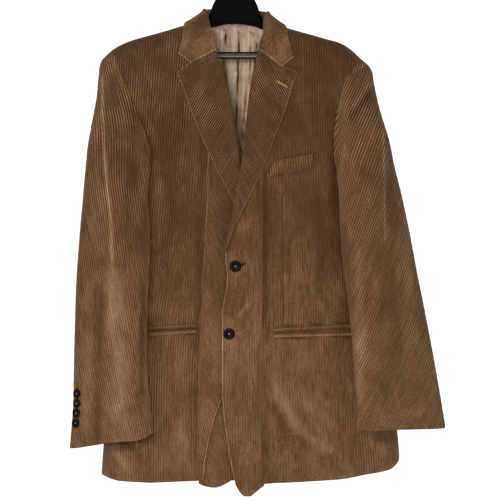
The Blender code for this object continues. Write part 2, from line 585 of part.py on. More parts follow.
def collar_rows(side, faces):
    """Rows from the gorge to the centre back: up the stand, over the fold and down the fall."""
    shape = COLLAR[side]
    points, normals = neckline(side)
    along = np.gradient(points, axis=0)
    along[-1] = (-side, 0.0, 0.0)   # level across the centre back
    rows = [leaf_row(side, faces["front"], float(points[0, 2]), LAPEL[side]["notch"],
                     (shape["x"][0], shape["z"][0]))]
    for station in range(1, len(points)):
        outward = normals[station]
        inward = np.cross(outward, along[station]) * side
        inward /= np.linalg.norm(inward)
        rise = math.radians(COLLAR["rise"][station])
        up = inward * math.cos(rise) + outward * math.sin(rise)
        lean = outward * math.cos(rise) - inward * math.sin(rise)
        start = (points[station] + inward * (SEAM_GAP / 2 + CLOTH * math.sin(rise))
                 - outward * CLOTH * math.cos(rise))
        centre = start + up * COLLAR["stand"][station] + lean * ROLL_RADIUS
        arc = [centre + ROLL_RADIUS * (math.sin(angle) * up - math.cos(angle) * lean)
               for angle in np.radians(ROLL_TURN)]
        x, z = shape["x"][station], shape["z"][station]
        if z is None:
            edge = np.array([x, 0.0, float(ridge(side, abs(x))) + COLLAR_REST])
        else:
            turn = float(turn_at(side, abs(x), z, "front" if station < RIDGE_STATION else "back"))
            edge = body(side, turn, z) + COLLAR_REST * body_normal(side, turn, z)
        curled, curl = arc[-1] - up * COLLAR_BEND * np.linalg.norm(edge - arc[-1]), COLLAR["curl"][station]
        bend = curled * curl + (arc[-1] + edge) / 2 * (1 - curl)
        share = np.array(LEAF_SHARE[1:])[:, None]
        fall = arc[-1] * (1 - share) ** 2 + 2 * bend * share * (1 - share) + edge * share ** 2
        fall = keep_off(fall, (faces["front"], faces["back"]), COLLAR_REST)
        rows.append(np.array([start] + arc + list(fall)))
    return rows


def collar_grid(faces):
    """Rows from the wearer's right end round the neck to the left one."""
    right, left = collar_rows(RIGHT, faces[RIGHT]), collar_rows(LEFT, faces[LEFT])
    middle = (right[-1] + left[-1]) / 2
    middle[:, 0] = 0.0
    return np.array(right[:-1] + [middle] + left[-2::-1])


# ================================================================ walls

def ridge_normal(side, x):
    """Normal along the shoulder seam: square to the ridge and upright, so both seam edges face level."""
    step = 1.0
    slope = (ridge(side, np.abs(x) + step) - ridge(side, np.abs(x) - step)) / (2 * step) * side
    normal = np.stack([-slope, np.zeros_like(slope), np.ones_like(slope)], axis=-1)
    return normal / np.linalg.norm(normal, axis=-1, keepdims=True)


def grid_normals(grid, outward):
    """Unit normals of a grid, pointing the way that outward says."""
    down = np.gradient(grid, axis=0)
    across = np.gradient(grid, axis=1)
    normal = np.cross(across, down) * outward
    length = np.linalg.norm(normal, axis=-1, keepdims=True)
    return normal / np.maximum(length, TINY)


def share_normals(pieces):
    """Give points that pieces have in common the mean of their normals."""
    found = {}
    for name, (grid, normals) in pieces.items():
        rows, columns = grid.shape[:2]
        for r, c in np.ndindex(rows, columns):
            if r in (0, rows - 1) or c in (0, columns - 1):
                key = tuple(np.round(grid[r, c], 1))
                found.setdefault(key, []).append((name, r, c))
    for places in found.values():
        if len({name for name, _, _ in places}) > 1:
            mean = sum(pieces[name][1][r, c] for name, r, c in places)
            mean = mean / np.linalg.norm(mean)
            for name, r, c in places:
                pieces[name][1][r, c] = mean


def open_seams(grid, normals, gap):
    """Draw a grid's edges in by half a seam's gap, along the surface and square to the edge."""
    drawn = grid.copy()
    for axis, end in ((0, 0), (0, -1), (1, 0), (1, -1)):
        edge = np.take(grid, end, axis=axis)
        within = np.take(grid, 1 if end == 0 else -2, axis=axis)
        normal = np.take(normals, end, axis=axis)
        along = np.gradient(edge, axis=0)
        along /= np.maximum(np.linalg.norm(along, axis=-1, keepdims=True), TINY)
        inward = within - edge
        inward -= along * np.sum(inward * along, axis=-1, keepdims=True)
        inward -= normal * np.sum(inward * normal, axis=-1, keepdims=True)
        inward /= np.maximum(np.linalg.norm(inward, axis=-1, keepdims=True), TINY)
        index = [slice(None)] * 3
        index[axis] = end
        drawn[tuple(index)] += inward * gap / 2
    return drawn


def wall_mesh(name, outer, inner):
    """A closed mesh between two grids, joined round their edges."""
    rows, columns = outer.shape[:2]
    count = rows * columns
    index = np.arange(count).reshape(rows, columns)
    quads = np.stack([index[:-1, :-1], index[1:, :-1], index[1:, 1:], index[:-1, 1:]], axis=-1).reshape(-1, 4)
    ring = np.concatenate([index[0, :-1], index[:-1, -1], index[-1, :0:-1], index[:0:-1, 0]])
    after = np.roll(ring, -1)
    rim = np.stack([ring, after, after + count, ring + count], axis=-1)
    faces = np.concatenate([quads, quads[:, ::-1] + count, rim])
    mesh = bpy.data.meshes.new(name)
    points = np.concatenate([outer.reshape(-1, 3), inner.reshape(-1, 3)]) * MM
    mesh.from_pydata(points.tolist(), [], faces.tolist())
    shaped = bmesh.new()
    shaped.from_mesh(mesh)
    bmesh.ops.recalc_face_normals(shaped, faces=shaped.faces)
    shaped.to_mesh(mesh)
    shaped.free()
    mesh.shade_smooth()
    mesh.set_sharp_from_angle(angle=math.radians(50))
    return mesh


def principled(name, colour, roughness, metallic=0.0):
    """A plain material of one colour."""
    made = bpy.data.materials.new(name)
    made.use_nodes = True
    shader = made.node_tree.nodes["Principled BSDF"]
    shader.inputs["Base Color"].default_value = (*colour, 1.0)
    shader.inputs["Roughness"].default_value = roughness
    shader.inputs["Metallic"].default_value = metallic
    return made


def add_object(name, data, material, collection):
    """An object of the blazer's collection."""
    item = bpy.data.objects.new(name, data)
    data.materials.append(material)
    collection.objects.link(item)
    return item


# ================================================================ building

def cloth_pieces():
    """The shell's grids with their normals, by name."""
    pieces = {}
    faces = {}
    for side, tag in SIDES:
        front, back = front_grid(side), back_grid(side)
        faces[side] = {"front": face_of(front, side), "back": face_of(back, side)}
        pieces[f"front_{tag}"] = (front, side)
        pieces[f"back_{tag}"] = (back, side)
        pieces[f"side_{tag}"] = (side_grid(side), -side)
        pieces[f"top_sleeve_{tag}"] = (sleeve_grid(side, TOP_SLEEVE_TURN), side)
        pieces[f"under_sleeve_{tag}"] = (sleeve_grid(side, UNDER_SLEEVE_TURN), side)
        pieces[f"lapel_{tag}"] = (lapel_grid(side, faces[side]["front"]), -side)
    pieces["collar"] = (collar_grid(faces), -1)
    pieces = {name: (grid, grid_normals(grid, outward)) for name, (grid, outward) in pieces.items()}
    for side, tag in SIDES:
        for part in ("front", "back"):
            grid, normals = pieces[f"{part}_{tag}"]
            normals[0] = ridge_normal(side, grid[0, :, 0])
    return pieces


def build_shell(collection, corduroy):
    """Every piece of the shell as a wall, and their grids for the pieces that lie on them."""
    pieces = cloth_pieces()
    share_normals(pieces)
    for name, (grid, normals) in pieces.items():
        outer = open_seams(grid, normals, SLEEVE_SEAM_GAP if "sleeve" in name else SEAM_GAP)
        add_object(name, wall_mesh(name, outer, outer - CLOTH * normals), corduroy, collection)
    return pieces


def lining_grid():
    """The lining across both backs: rows from the neck and shoulders down, columns from side to side."""
    share = np.linspace(-1, 1, LINING_COLUMNS)
    out = np.abs(share) * LINING_HALF[0]
    ridges = np.where(share < 0, ridge(RIGHT, out), ridge(LEFT, out))
    tops = ridges - smooth(out, LINING_TOP["out"], LINING_TOP["drop"])
    grid = []
    for down in LINING_ROWS:
        z = tops + (LINING_END - tops) * down
        half = LINING_HALF[0] + (LINING_HALF[1] - LINING_HALF[0]) * down
        grid.append(on_body(share * half, z, "back"))
    return np.array(grid)


def build_lining(collection, satin):
    """The backs' form in one piece of satin, moved in."""
    grid = lining_grid()
    normals = grid_normals(grid, 1)
    outer = grid - (CLOTH + LINING_GAP) * normals
    add_object("back_lining", wall_mesh("back_lining", outer, outer - LINING * normals), satin, collection)


def strip(face, top, bottom, columns):
    """A welt's outer grid: a straight strip lying on a front."""
    share = np.linspace(0, 1, columns)
    top, bottom = np.array(top, float), np.array(bottom, float)
    rows = []
    for down in (0.0, 0.5, 1.0):
        first, last = top + (bottom - top) * down
        x, z = first[0] + (last[0] - first[0]) * share, first[1] + (last[1] - first[1]) * share
        rows.append(on_front(face, x, z, WELT + WELT_SEAT))
    return np.array(rows)


def build_welts(collection, corduroy, pieces):
    """The breast welt and the hip pockets' double welts."""
    faces = {side: face_of(pieces[f"front_{tag}"][0], side) for side, tag in SIDES}
    welts = {"breast_welt": strip(faces[LEFT], BREAST_WELT["top"], BREAST_WELT["bottom"], WELT_COLUMNS)}
    for (side, place), (top, bottom) in HIP_WELT.items():
        welts[f"hip_welt_{place}_{dict(SIDES)[side]}"] = strip(faces[side], top, bottom, WELT_COLUMNS)
    for name, grid in welts.items():
        inner = grid + np.array([0.0, WELT, 0.0])
        add_object(name, wall_mesh(name, grid, inner), corduroy, collection)


def build_button(name, size, point, normal, horn, collection, cutters):
    """A sew-through button: a turned disc with a raised rim and four holes."""
    radius, thick = size["radius"], size["thick"]
    profile = ((0.0, 0.72), (0.58, 0.72), (0.74, 1.0), (0.92, 1.0), (1.0, 0.6), (0.85, 0.0), (0.0, 0.0))
    mesh = bpy.data.meshes.new(name)
    points = [(share * radius * MM, 0.0, high * thick * MM) for share, high in profile]
    mesh.from_pydata(points, [(k, k + 1) for k in range(len(points) - 1)], [])
    item = add_object(name, mesh, horn, collection)
    spin = item.modifiers.new("turned", "SCREW")
    spin.steps = spin.render_steps = size["segments"]
    spin.use_merge_vertices = True
    spin.merge_threshold = 0.00005
    drill = bpy.data.meshes.new(name + "_holes")
    shaped = bmesh.new()
    for quarter in range(4):
        angle = math.pi / 4 + quarter * math.pi / 2
        hole = HOLE_RADIUS * radius * MM
        made = bmesh.ops.create_cone(shaped, cap_ends=True, segments=HOLE_SIDES, radius1=hole, radius2=hole,
                                     depth=4 * thick * MM)
        bmesh.ops.translate(shaped, verts=made["verts"], vec=(HOLE_SPREAD * radius * MM * math.cos(angle),
                                                            HOLE_SPREAD * radius * MM * math.sin(angle), 0.0))
    shaped.to_mesh(drill)
    shaped.free()
    cutter = bpy.data.objects.new(name + "_holes", drill)
    cutters.objects.link(cutter)
    cutter.hide_render = True
    cutter.display_type = "WIRE"
    cut = item.modifiers.new("holes", "BOOLEAN")
    cut.object = cutter
    facing = Vector(normal).to_track_quat("Z", "Y")
    for thing in (item, cutter):
        thing.rotation_mode = "QUATERNION"
        thing.rotation_quaternion = facing
        thing.location = [value * MM for value in point]
    return item


def rest_point(faces, point, normal, radius):
    """Where a disc comes to rest over a point: its underside just clear of the highest cloth under it."""
    point, normal = Vector(point), Vector(normal).normalized()
    across = normal.orthogonal().normalized()
    other = normal.cross(across)
    highest = -FAR
    spots = [(0.0, 0.0)] + [(share * radius * math.cos(a), share * radius * math.sin(a))
                            for share in (0.5, 1.0) for a in np.radians(range(0, 360, 30))]
    for u, v in spots:
        start = point + across * u + other * v + normal * 3 * radius
        for face in faces:
            met = face.ray_cast(start, -normal)[0]
            if met is not None:
                highest = max(highest, (met - point).dot(normal))
    return point + normal * (highest + SEAT_GAP)


def build_buttons(collection, cutters, horn, pieces):
    """Two buttons on the front, and four on each cuff's hind edge."""
    face = [face_of(pieces["front_left"][0], LEFT)]
    facing = (0.0, -1.0, 0.0)
    for place, (x, z) in FRONT_BUTTON_PLACE.items():
        point = rest_point(face, (x, -BODY["front"][0], z), facing, FRONT_BUTTON["radius"])
        build_button(f"front_button_{place}", FRONT_BUTTON, point, facing, horn, collection, cutters)
    for side, tag in SIDES:
        faces = [face_of(pieces[f"{part}_sleeve_{tag}"][0], side) for part in ("top", "under")]
        turn = SLEEVE_BUTTON_TURN[side]
        for number, z in enumerate(SLEEVE_BUTTON_Z[side], start=1):
            around = tube(side, turn + 1.0, z) - tube(side, turn - 1.0, z)
            down = tube(side, turn, z - 1.0) - tube(side, turn, z + 1.0)
            normal = np.cross(around, down) * side
            point = rest_point(faces, tube(side, turn, z), normal, SLEEVE_BUTTON["radius"])
            build_button(f"sleeve_button_{tag}_{number}", SLEEVE_BUTTON, point, normal, horn, collection,
                         cutters)


def hanger_section(out, side):
    """One upright section of the hanger: a rounded top and bottom, and flat flanks."""
    top, bottom, half, clear = (float(smooth(out, HANGER["out"], HANGER[k]))
                                for k in ("top", "bottom", "half", "clear"))
    if out >= HANGER_CLOTH_FROM:
        top = float(ridge(side, out)) - clear
    squeeze = min(1.0, (top - bottom) / (HANGER_UPPER[-1][1] + HANGER_LOWER[0][1] + 1.0))
    flank = [(share * half, top - drop * squeeze) for share, drop in HANGER_UPPER]
    flank += [(share * half, bottom + rise * squeeze) for share, rise in HANGER_LOWER]
    ring = flank + [(-y, z) for y, z in flank[-2:0:-1]]
    return np.array([(side * out, y, z) for y, z in ring])


def build_hanger(collection, plastic, steel):
    """The broad moulded hanger, its trouser bar and its wire hook."""
    reach = np.array(HANGER["out"], float)
    stations = [(out, RIGHT) for out in reach[:0:-1]] + [(out, LEFT) for out in reach]
    rings = np.array([hanger_section(out, side) for out, side in stations])
    add_object("hanger_body", tube_mesh("hanger_body", rings), plastic, collection)

    bar_x = np.array((-BAR["reach"], -150, -130, -110, 110, 130, 150, BAR["reach"]), float)
    rings = []
    for x in bar_x:
        under = float(smooth(abs(x), HANGER["out"], HANGER["bottom"])) - SEAT_GAP
        top = min(BAR["top"], under)
        bottom = min(BAR["bottom"], top - 5.0)
        corners = ((-1, top - 1.5), (-0.6, top), (0.6, top), (1, top - 1.5), (1, bottom + 1.5), (0.6, bottom),
                   (-0.6, bottom), (-1, bottom + 1.5))
        rings.append([(x, share * BAR["half"], z) for share, z in corners])
    add_object("hanger_bar", tube_mesh("hanger_bar", np.array(rings)), plastic, collection)

    wire_radius = HOOK_RADIUS + WIRE
    hub_top = HANGER["top"][0]
    turns = np.radians(np.linspace(-38, 208, 22))
    ring = [(wire_radius * math.cos(a), 0.0, wire_radius * math.sin(a) - HOOK_RADIUS) for a in turns]
    stem = [(0.0, 0.0, hub_top + SEAT_GAP), (0.0, 0.0, hub_top + 14), (1.0, 0.0, hub_top + 24),
            (5.0, 0.0, hub_top + 34), (11.0, 0.0, hub_top + 42)]
    path = bpy.data.curves.new("hanger_hook", "CURVE")
    path.dimensions = "3D"
    path.bevel_depth = WIRE * MM
    path.bevel_resolution = 2
    path.use_fill_caps = True
    line = path.splines.new("POLY")
    line.points.add(len(stem) + len(ring) - 1)
    for knot, place in zip(line.points, stem + ring):
        knot.co = (*[value * MM for value in place], 1.0)
    add_object("hanger_hook", path, steel, collection)


def tube_mesh(name, rings):
    """A closed mesh through rings of points, with flat ends."""
    count, sides = rings.shape[:2]
    index = np.arange(count * sides).reshape(count, sides)
    turned = np.roll(index, -1, axis=1)
    faces = np.stack([index[:-1], turned[:-1], turned[1:], index[1:]], axis=-1).reshape(-1, 4).tolist()
    faces += [index[0].tolist()[::-1], index[-1].tolist()]
    mesh = bpy.data.meshes.new(name)
    mesh.from_pydata((rings.reshape(-1, 3) * MM).tolist(), [], faces)
    shaped = bmesh.new()
    shaped.from_mesh(mesh)
    bmesh.ops.recalc_face_normals(shaped, faces=shaped.faces)
    shaped.to_mesh(mesh)
    shaped.free()
    mesh.shade_smooth()
    mesh.set_sharp_from_angle(angle=math.radians(50))
    return mesh


def main():
    for item in list(bpy.data.objects):
        bpy.data.objects.remove(item, do_unlink=True)
    blazer = bpy.data.collections.new("blazer")
    cutters = bpy.data.collections.new("cutters")
    for collection in (blazer, cutters):
        bpy.context.scene.collection.children.link(collection)
    corduroy = principled("corduroy", (0.12, 0.062, 0.029), 0.9)
    satin = principled("satin_lining", (0.30, 0.20, 0.13), 0.45)
    horn = principled("horn_button", (0.018, 0.011, 0.008), 0.3)
    plastic = principled("hanger_plastic", (0.006, 0.006, 0.006), 0.4)
    steel = principled("hook_steel", (0.6, 0.6, 0.6), 0.25, 1.0)
    pieces = build_shell(blazer, corduroy)
    build_lining(blazer, satin)
    build_welts(blazer, corduroy, pieces)
    build_buttons(blazer, cutters, horn, pieces)
    build_hanger(blazer, plastic, steel)


main()
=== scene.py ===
# %% [markdown]
# # A corduroy blazer on its hanger
#
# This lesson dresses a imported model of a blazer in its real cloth. The blazer is sewn from wide-wale
# corduroy: a cotton pile woven in ridges, called wales, that run down each piece. The model gives each
# piece's true shape as a plain wall. Here every wall is made again as a fine surface with its wales,
# creases, stitching and worn edges. The work is in millimetres, as a tailor's is, and turns to metres
# where a mesh is made.

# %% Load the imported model
import math
import bpy
import numpy as np
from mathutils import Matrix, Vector
from mathutils.bvhtree import BVHTree


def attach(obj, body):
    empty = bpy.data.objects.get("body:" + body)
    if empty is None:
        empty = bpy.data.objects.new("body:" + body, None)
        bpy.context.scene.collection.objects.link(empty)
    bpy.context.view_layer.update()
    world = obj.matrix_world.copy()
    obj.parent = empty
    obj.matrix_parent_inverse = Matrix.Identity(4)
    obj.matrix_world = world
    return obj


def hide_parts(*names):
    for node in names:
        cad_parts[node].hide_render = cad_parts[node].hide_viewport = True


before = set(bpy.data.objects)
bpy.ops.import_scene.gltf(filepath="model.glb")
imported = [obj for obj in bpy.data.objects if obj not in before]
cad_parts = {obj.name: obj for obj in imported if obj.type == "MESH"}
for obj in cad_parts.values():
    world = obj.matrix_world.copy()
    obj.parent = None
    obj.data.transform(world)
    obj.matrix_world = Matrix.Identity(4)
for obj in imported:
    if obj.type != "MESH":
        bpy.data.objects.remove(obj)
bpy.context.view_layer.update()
MM = 0.001
TINY = 1e-9
RIGHT, LEFT = -1, 1             # the wearer's sides, by the sign of X
SIDES = ((RIGHT, "right"), (LEFT, "left"))

# %% [markdown]
# ## Reading a table
#
# A garment's form comes from short tables: a height, and the width or depth there. Between two rows
# the value follows a cubic. `smooth` picks slopes that never overshoot the rows, which suits a pattern
# table. `refine` reads a whole grid of points the same way, but lets a round form bulge a little
# between its points, as cloth does. Both work on whole arrays at once.

# %% Cubic reading
def cubic(at, x, y, slope):
    """Between rows k and k+1, with t from 0 to 1: a Hermite cubic of the two values and two slopes."""
    k = np.clip(np.searchsorted(x, at) - 1, 0, len(x) - 2)
    wide = at.shape + (1,) * (y.ndim - 1)
    step = np.diff(x)[k].reshape(wide)
    t = np.clip((at - x[k]) / np.diff(x)[k], 0.0, 1.0).reshape(wide)
    return ((2 * t**3 - 3 * t**2 + 1) * y[k] + (t**3 - 2 * t**2 + t) * step * slope[k]
            + (3 * t**2 - 2 * t**3) * y[k + 1] + (t**3 - t**2) * step * slope[k + 1])


def smooth(at, known_at, known):
    """A table's value anywhere: slopes are the harmonic mean of the rises on both sides, 0 at a peak."""
    x, y, at = (np.asarray(value, float) for value in (known_at, known, at))
    if x[0] > x[-1]:
        x, y = x[::-1], y[::-1]
    step = np.diff(x)
    rise = np.diff(y) / step
    w1, w2 = 2 * step[1:] + step[:-1], step[1:] + 2 * step[:-1]
    with np.errstate(divide="ignore", invalid="ignore"):
        mean = (w1 + w2) / (w1 / rise[:-1] + w2 / rise[1:])
    slope = np.concatenate([rise[:1], np.where(rise[1:] * rise[:-1] > 0, mean, 0.0), rise[-1:]])
    return cubic(at, x, y, slope)


def ease(t):
    """Go from 0 to 1 with level ends: 3t² - 2t³."""
    t = np.clip(t, 0.0, 1.0)
    return t * t * (3 - 2 * t)


BULGE = 2.5                     # how much steeper than its flatter neighbour a slope may be


def refine(grid, down, across):
    """A coarse grid of points, and of any values that go with them, at even steps of about down by across.

    Along each direction the parameter is the mean distance between the grid's lines, and the slope at
    a line is that of the parabola through it and its neighbours, held to BULGE times the smaller rise.
    """
    for axis, spacing in ((0, down), (1, across)):
        lanes = np.moveaxis(grid, axis, 0)
        chord = np.linalg.norm(np.diff(lanes[..., :3], axis=0), axis=-1).mean(axis=1)
        place = np.concatenate([[0.0], np.cumsum(chord)])
        step = np.diff(place)[:, None, None]
        rise = np.diff(lanes, axis=0) / step
        slope = (rise[:-1] * step[1:] + rise[1:] * step[:-1]) / (step[1:] + step[:-1])
        limit = BULGE * np.minimum(np.abs(rise[:-1]), np.abs(rise[1:]))
        slope = np.concatenate([rise[:1], np.clip(slope, -limit, limit), rise[-1:]])
        count = int(round(place[-1] / spacing)) + 1
        lanes = cubic(np.linspace(0.0, place[-1], count), place, lanes, slope)
        grid = np.moveaxis(lanes, 0, axis)
    return grid

# %% [markdown]
# ## The body's form
#
# On a hanger the jacket is a flattened tube under a shoulder ridge. Its level section is a squared
# oval, and below the ridge the cloth rounds out to the full depth. The tables repeat the model's own
# sizes, so that the fine surfaces lie exactly where its walls are.

# %% Body tables
SHOULDER_ROUND, ROUND_POWER, SECTION_POWER = 90.0, 2.2, 3.0
RIDGE = {"out": (0, 47, 100, 140, 170, 190, 206, 216, 226, 236),
         RIGHT: (-127, -139, -154, -166, -174, -181, -189, -196, -206, -218),
         LEFT: (-127, -142, -158, -169, -178, -185, -197, -207, -217, -228)}
BODY = {"z": (-120, -300, -372, -420, -480, -560, -700, -850, -940),
        RIGHT: (238, 208, 190, 183, 183, 191, 208, 225, 231.5),
        LEFT: (242, 212, 198, 192, 197, 213, 246, 280, 287),
        "front": (56, 58, 58, 57, 55, 52, 49, 45, 43),
        "back": (52, 56, 56, 54, 50, 47, 45, 42, 40)}
ARMHOLE_TURN = (0, 40, 80, 120, 165, 190, 215, 240, 270, 305, 335, 360)
ARMHOLE = {RIGHT: {"out": (213, 190, 170, 156, 142, 152, 183, 168, 178, 188, 203, 213),
                   "z": (-194, -251, -298, -332, -372, -402, -416, -398, -350, -292, -236, -194)},
           LEFT: {"out": (216, 192, 175, 170, 170, 176, 192, 180, 186, 193, 206, 216),
                  "z": (-207, -246, -301, -343, -378, -403, -416, -398, -350, -298, -246, -207)}}
UNDERARM_TURN = 215


def ridge(side, out):
    """Height of the shoulder's ridge at a distance out from the centre."""
    return smooth(out, RIDGE["out"], RIDGE[side])


def half_width(side, z):
    """Half of the body's width at a height."""
    return smooth(z, BODY["z"], BODY[side])


def body(side, turn, z):
    """Point of the body at a turn (0 front, 90 side, 180 back): a squared oval.

    out = half width times sin^(2/p), y = depth times cos^(2/p) times the rounding under the ridge, and
    the rounding is (1 - (1 - drop)^q)^(1/q) with the drop below the ridge as a share of 90 mm.
    """
    turn, z = np.broadcast_arrays(np.asarray(turn, float), np.asarray(z, float))
    sine, cosine = np.sin(np.radians(turn)), np.cos(np.radians(turn))
    out = half_width(side, z) * np.abs(sine) ** (2 / SECTION_POWER)
    fall = np.clip((ridge(side, out) - z) / SHOULDER_ROUND, 0.0, 1.0)
    rounded = (1 - (1 - fall) ** ROUND_POWER) ** (1 / ROUND_POWER)
    depth = np.where(cosine > 0, smooth(z, BODY["z"], BODY["front"]),
                     smooth(z, BODY["z"], BODY["back"]))
    y = -np.sign(cosine) * depth * np.abs(cosine) ** (2 / SECTION_POWER) * rounded
    return np.stack([side * out, y, z], axis=-1)


def turn_at(side, out, z, face):
    """Turn of the body's point at a distance out, on its front or its back."""
    share = np.clip(np.asarray(out, float) / half_width(side, z), 0.0, 1.0)
    turn = np.degrees(np.arcsin(share ** (SECTION_POWER / 2)))
    return turn if face == "front" else 180 - turn


def on_body(x, z, face="front"):
    """Points of the body's front or back over points of the drawing."""
    x, z = np.broadcast_arrays(np.asarray(x, float), np.asarray(z, float))
    halves = [body(side, turn_at(side, np.abs(x), z, face), z) for side in (RIGHT, LEFT)]
    return np.where((x < 0)[..., None], *halves)


def body_normal(side, turn, z, step=0.5):
    """Outward normal of the body: the cross product of small steps down it and round it."""
    across = body(side, turn + step, z) - body(side, turn - step, z)
    normal = np.cross(body(side, turn, z - step) - body(side, turn, z), across) * side
    return normal / np.linalg.norm(normal, axis=-1, keepdims=True)


def armhole(side, turn):
    """Points of the armhole's loop, from its top over the front, the underarm and the back."""
    rows = np.array(ARMHOLE_TURN, float)
    out, z = np.array(ARMHOLE[side]["out"], float), np.array(ARMHOLE[side]["z"], float)
    z[[0, -1]] = ridge(side, out[0])
    around = np.where(rows < UNDERARM_TURN, turn_at(side, out, z, "front"), turn_at(side, out, z, "back"))
    around[rows == UNDERARM_TURN] = 90.0
    turn = np.mod(np.asarray(turn, float), 360.0)
    return body(side, smooth(turn, rows, around), smooth(turn, rows, z))


print("chest width mm", round(float(half_width(RIGHT, -420) + half_width(LEFT, -420))))

# %% [markdown]
# ## Fronts, backs and side panels
#
# Each front is cut from the shoulder to the hem, between the armhole and the roll line of the lapel.
# Under the lapel a long fold hangs down it, because the jacket's chest is held wider than its hem. A
# row of the front crosses the fold as a pleat does: the cloth turns forward round a radius, runs on,
# and turns back. The same three values, angle, radius and run, change slowly down the jacket.

# %% Tables of the fronts and the panels behind
SIDE_SEAM = {"z": (-400, -480, -600, -800, -940),
             (RIGHT, "front"): (152, 155, 155, 150, 147),
             (LEFT, "front"): (176, 180, 190, 209, 219),
             (RIGHT, "back"): (168, 163, 158, 165, 170),
             (LEFT, "back"): (180, 176, 180, 200, 210)}
BREAK_Z = -545
INNER_LINE = {RIGHT: {"z": (-135, -157, -173, -206, -240, -289, -339, -380, -420, -480, -545, -678, -747,
                            -791, -834, -877, -929),
                      "x": (-47, -44, -36, -28, -17, -5, 2, 9, 12, 14, 13, 13, 4, -22, -37, -47, -55)},
              LEFT: {"z": (-140, -162, -182, -209, -232, -253, -289, -322, -367, -396, -420, -454, -495,
                           -545, -567, -600, -626, -654, -704, -791, -834, -868, -907, -946),
                     "x": (50, 50, 43, 36, 31, 27, 22, 19, 15, 10, 4, -2, -8, -16, -14, -13, -18, -22,
                           -22, -22, -18, -13, -7, 1.5)}}
FOLD = {RIGHT: {"z": (-300, -345, -385, -415, -458, -540, -600, -678, -791, -868, -940),
                "edge": (-36, -40, -43, -45, -47, -50, -54, -57, -60, -62, -61),
                "angle": (2, 10, 30, 62, 100, 146, 168, 176, 178, 179, 179),
                "radius": (20, 16, 12, 7.5, 4.8, 3.5, 3.4, 3.4, 3.4, 3.4, 3.4),
                "run": (0.5, 0.5, 0.5, 0.5, 0.8, 3, 10, 20, 38, 50, 57)},
        LEFT: {"z": (-260, -300, -340, -385, -415, -458, -540, -640, -730, -817, -907, -965),
               "edge": (60, 58, 54, 50, 45, 45, 47, 47, 41, 43, 49, 52),
               "angle": (2, 10, 18, 27, 52, 80, 95, 100, 100, 100, 98, 96),
               "radius": (60, 62, 62, 62, 23, 13.2, 10.2, 9, 9, 9, 9, 9),
               "run": (0.5, 0.5, 0.5, 0.5, 0.5, 0.5, 0.5, 0.5, 0.5, 0.5, 0.5, 0.5)}}
FOLD_STEPS, FOLD_LIMIT = (5, 4, 2, 4, 5), 0.95
FRONT_ARM_TURN = (0, 3, 9, 20, 38, 64, 96, 130, 162, 190)
FRONT_ARM_INNER_Z = (None, -147, -154, -165, -179, -195, -228, -270, -318, -366)
SEAM_ROWS = (-440, -480, -530, -575, -610, -660, -720, -780, -834, -880, -912)
FRONT_SEAM_INNER_Z = (-412, -460, -505, -545, -590, -650, -718, -780, -834, -880, -914)
GORGE_ROW, BREAK_ROW = 5, 13
FRONT_HEM = {RIGHT: {"share": (0.0, 0.1, 0.2, 0.25, 0.35, 0.45, 0.5, 0.55, 0.65, 0.75, 1.0),
                     "z": (-941.5, -939, -936, -933, -933, -935, -949, -944, -941, -938, -936)},
             LEFT: {"share": (0.0, 0.05, 0.1, 0.2, 0.25, 0.45, 0.55, 0.65, 0.75, 0.8, 0.85, 0.9, 0.95, 1.0),
                    "z": (-929, -935, -937.5, -941, -942.5, -943.5, -944.5, -947, -952, -958.5, -964, -964,
                          -958, -945)}}
SIDE_HEM = {RIGHT: (-941.5, -937, -928, -929, -934), LEFT: (-929, -918, -900, -908, -925)}
BACK_HEM = {RIGHT: (-940, -934), LEFT: (-940, -925)}
HEM_FADE = -700.0
BACK_ARM_TURN = (360, 357, 350, 338, 320, 300, 278, 258, 240)
BACK_NECK_SHARE = (1.0, 0.96, 0.84, 0.63, 0.33, 0.0)
BACK_NECK_DROP = (0.0, 2.0, 5.5, 12.0, 20.0, 26.0)
BACK_CENTRE_Z = (-200, -270, -345)
BACK_COLUMNS = 7
SIDE_ARM_TURN = (190, 203, 215, 228, 240)
ROLL_RADIUS, ROLL_START, ROLL_OPENS = 4.0, 1.0, 60.0
SEAM_GAP, CLOTH = 0.3, 2.0


def inner_x(side, z):
    """Edge of a front: behind the lapel's roll above the break, the front edge itself below it."""
    set_back = (ROLL_RADIUS + SEAM_GAP + ROLL_START) * ease((z - BREAK_Z) / ROLL_OPENS)
    return smooth(z, INNER_LINE[side]["z"], INNER_LINE[side]["x"]) + side * set_back


def neck_point(side):
    """Where the roll line meets the ridge, found by stepping from one to the other."""
    out = abs(INNER_LINE[side]["x"][0])
    for _ in range(20):
        out = abs(float(inner_x(side, ridge(side, out))))
    return side * out, float(ridge(side, out))


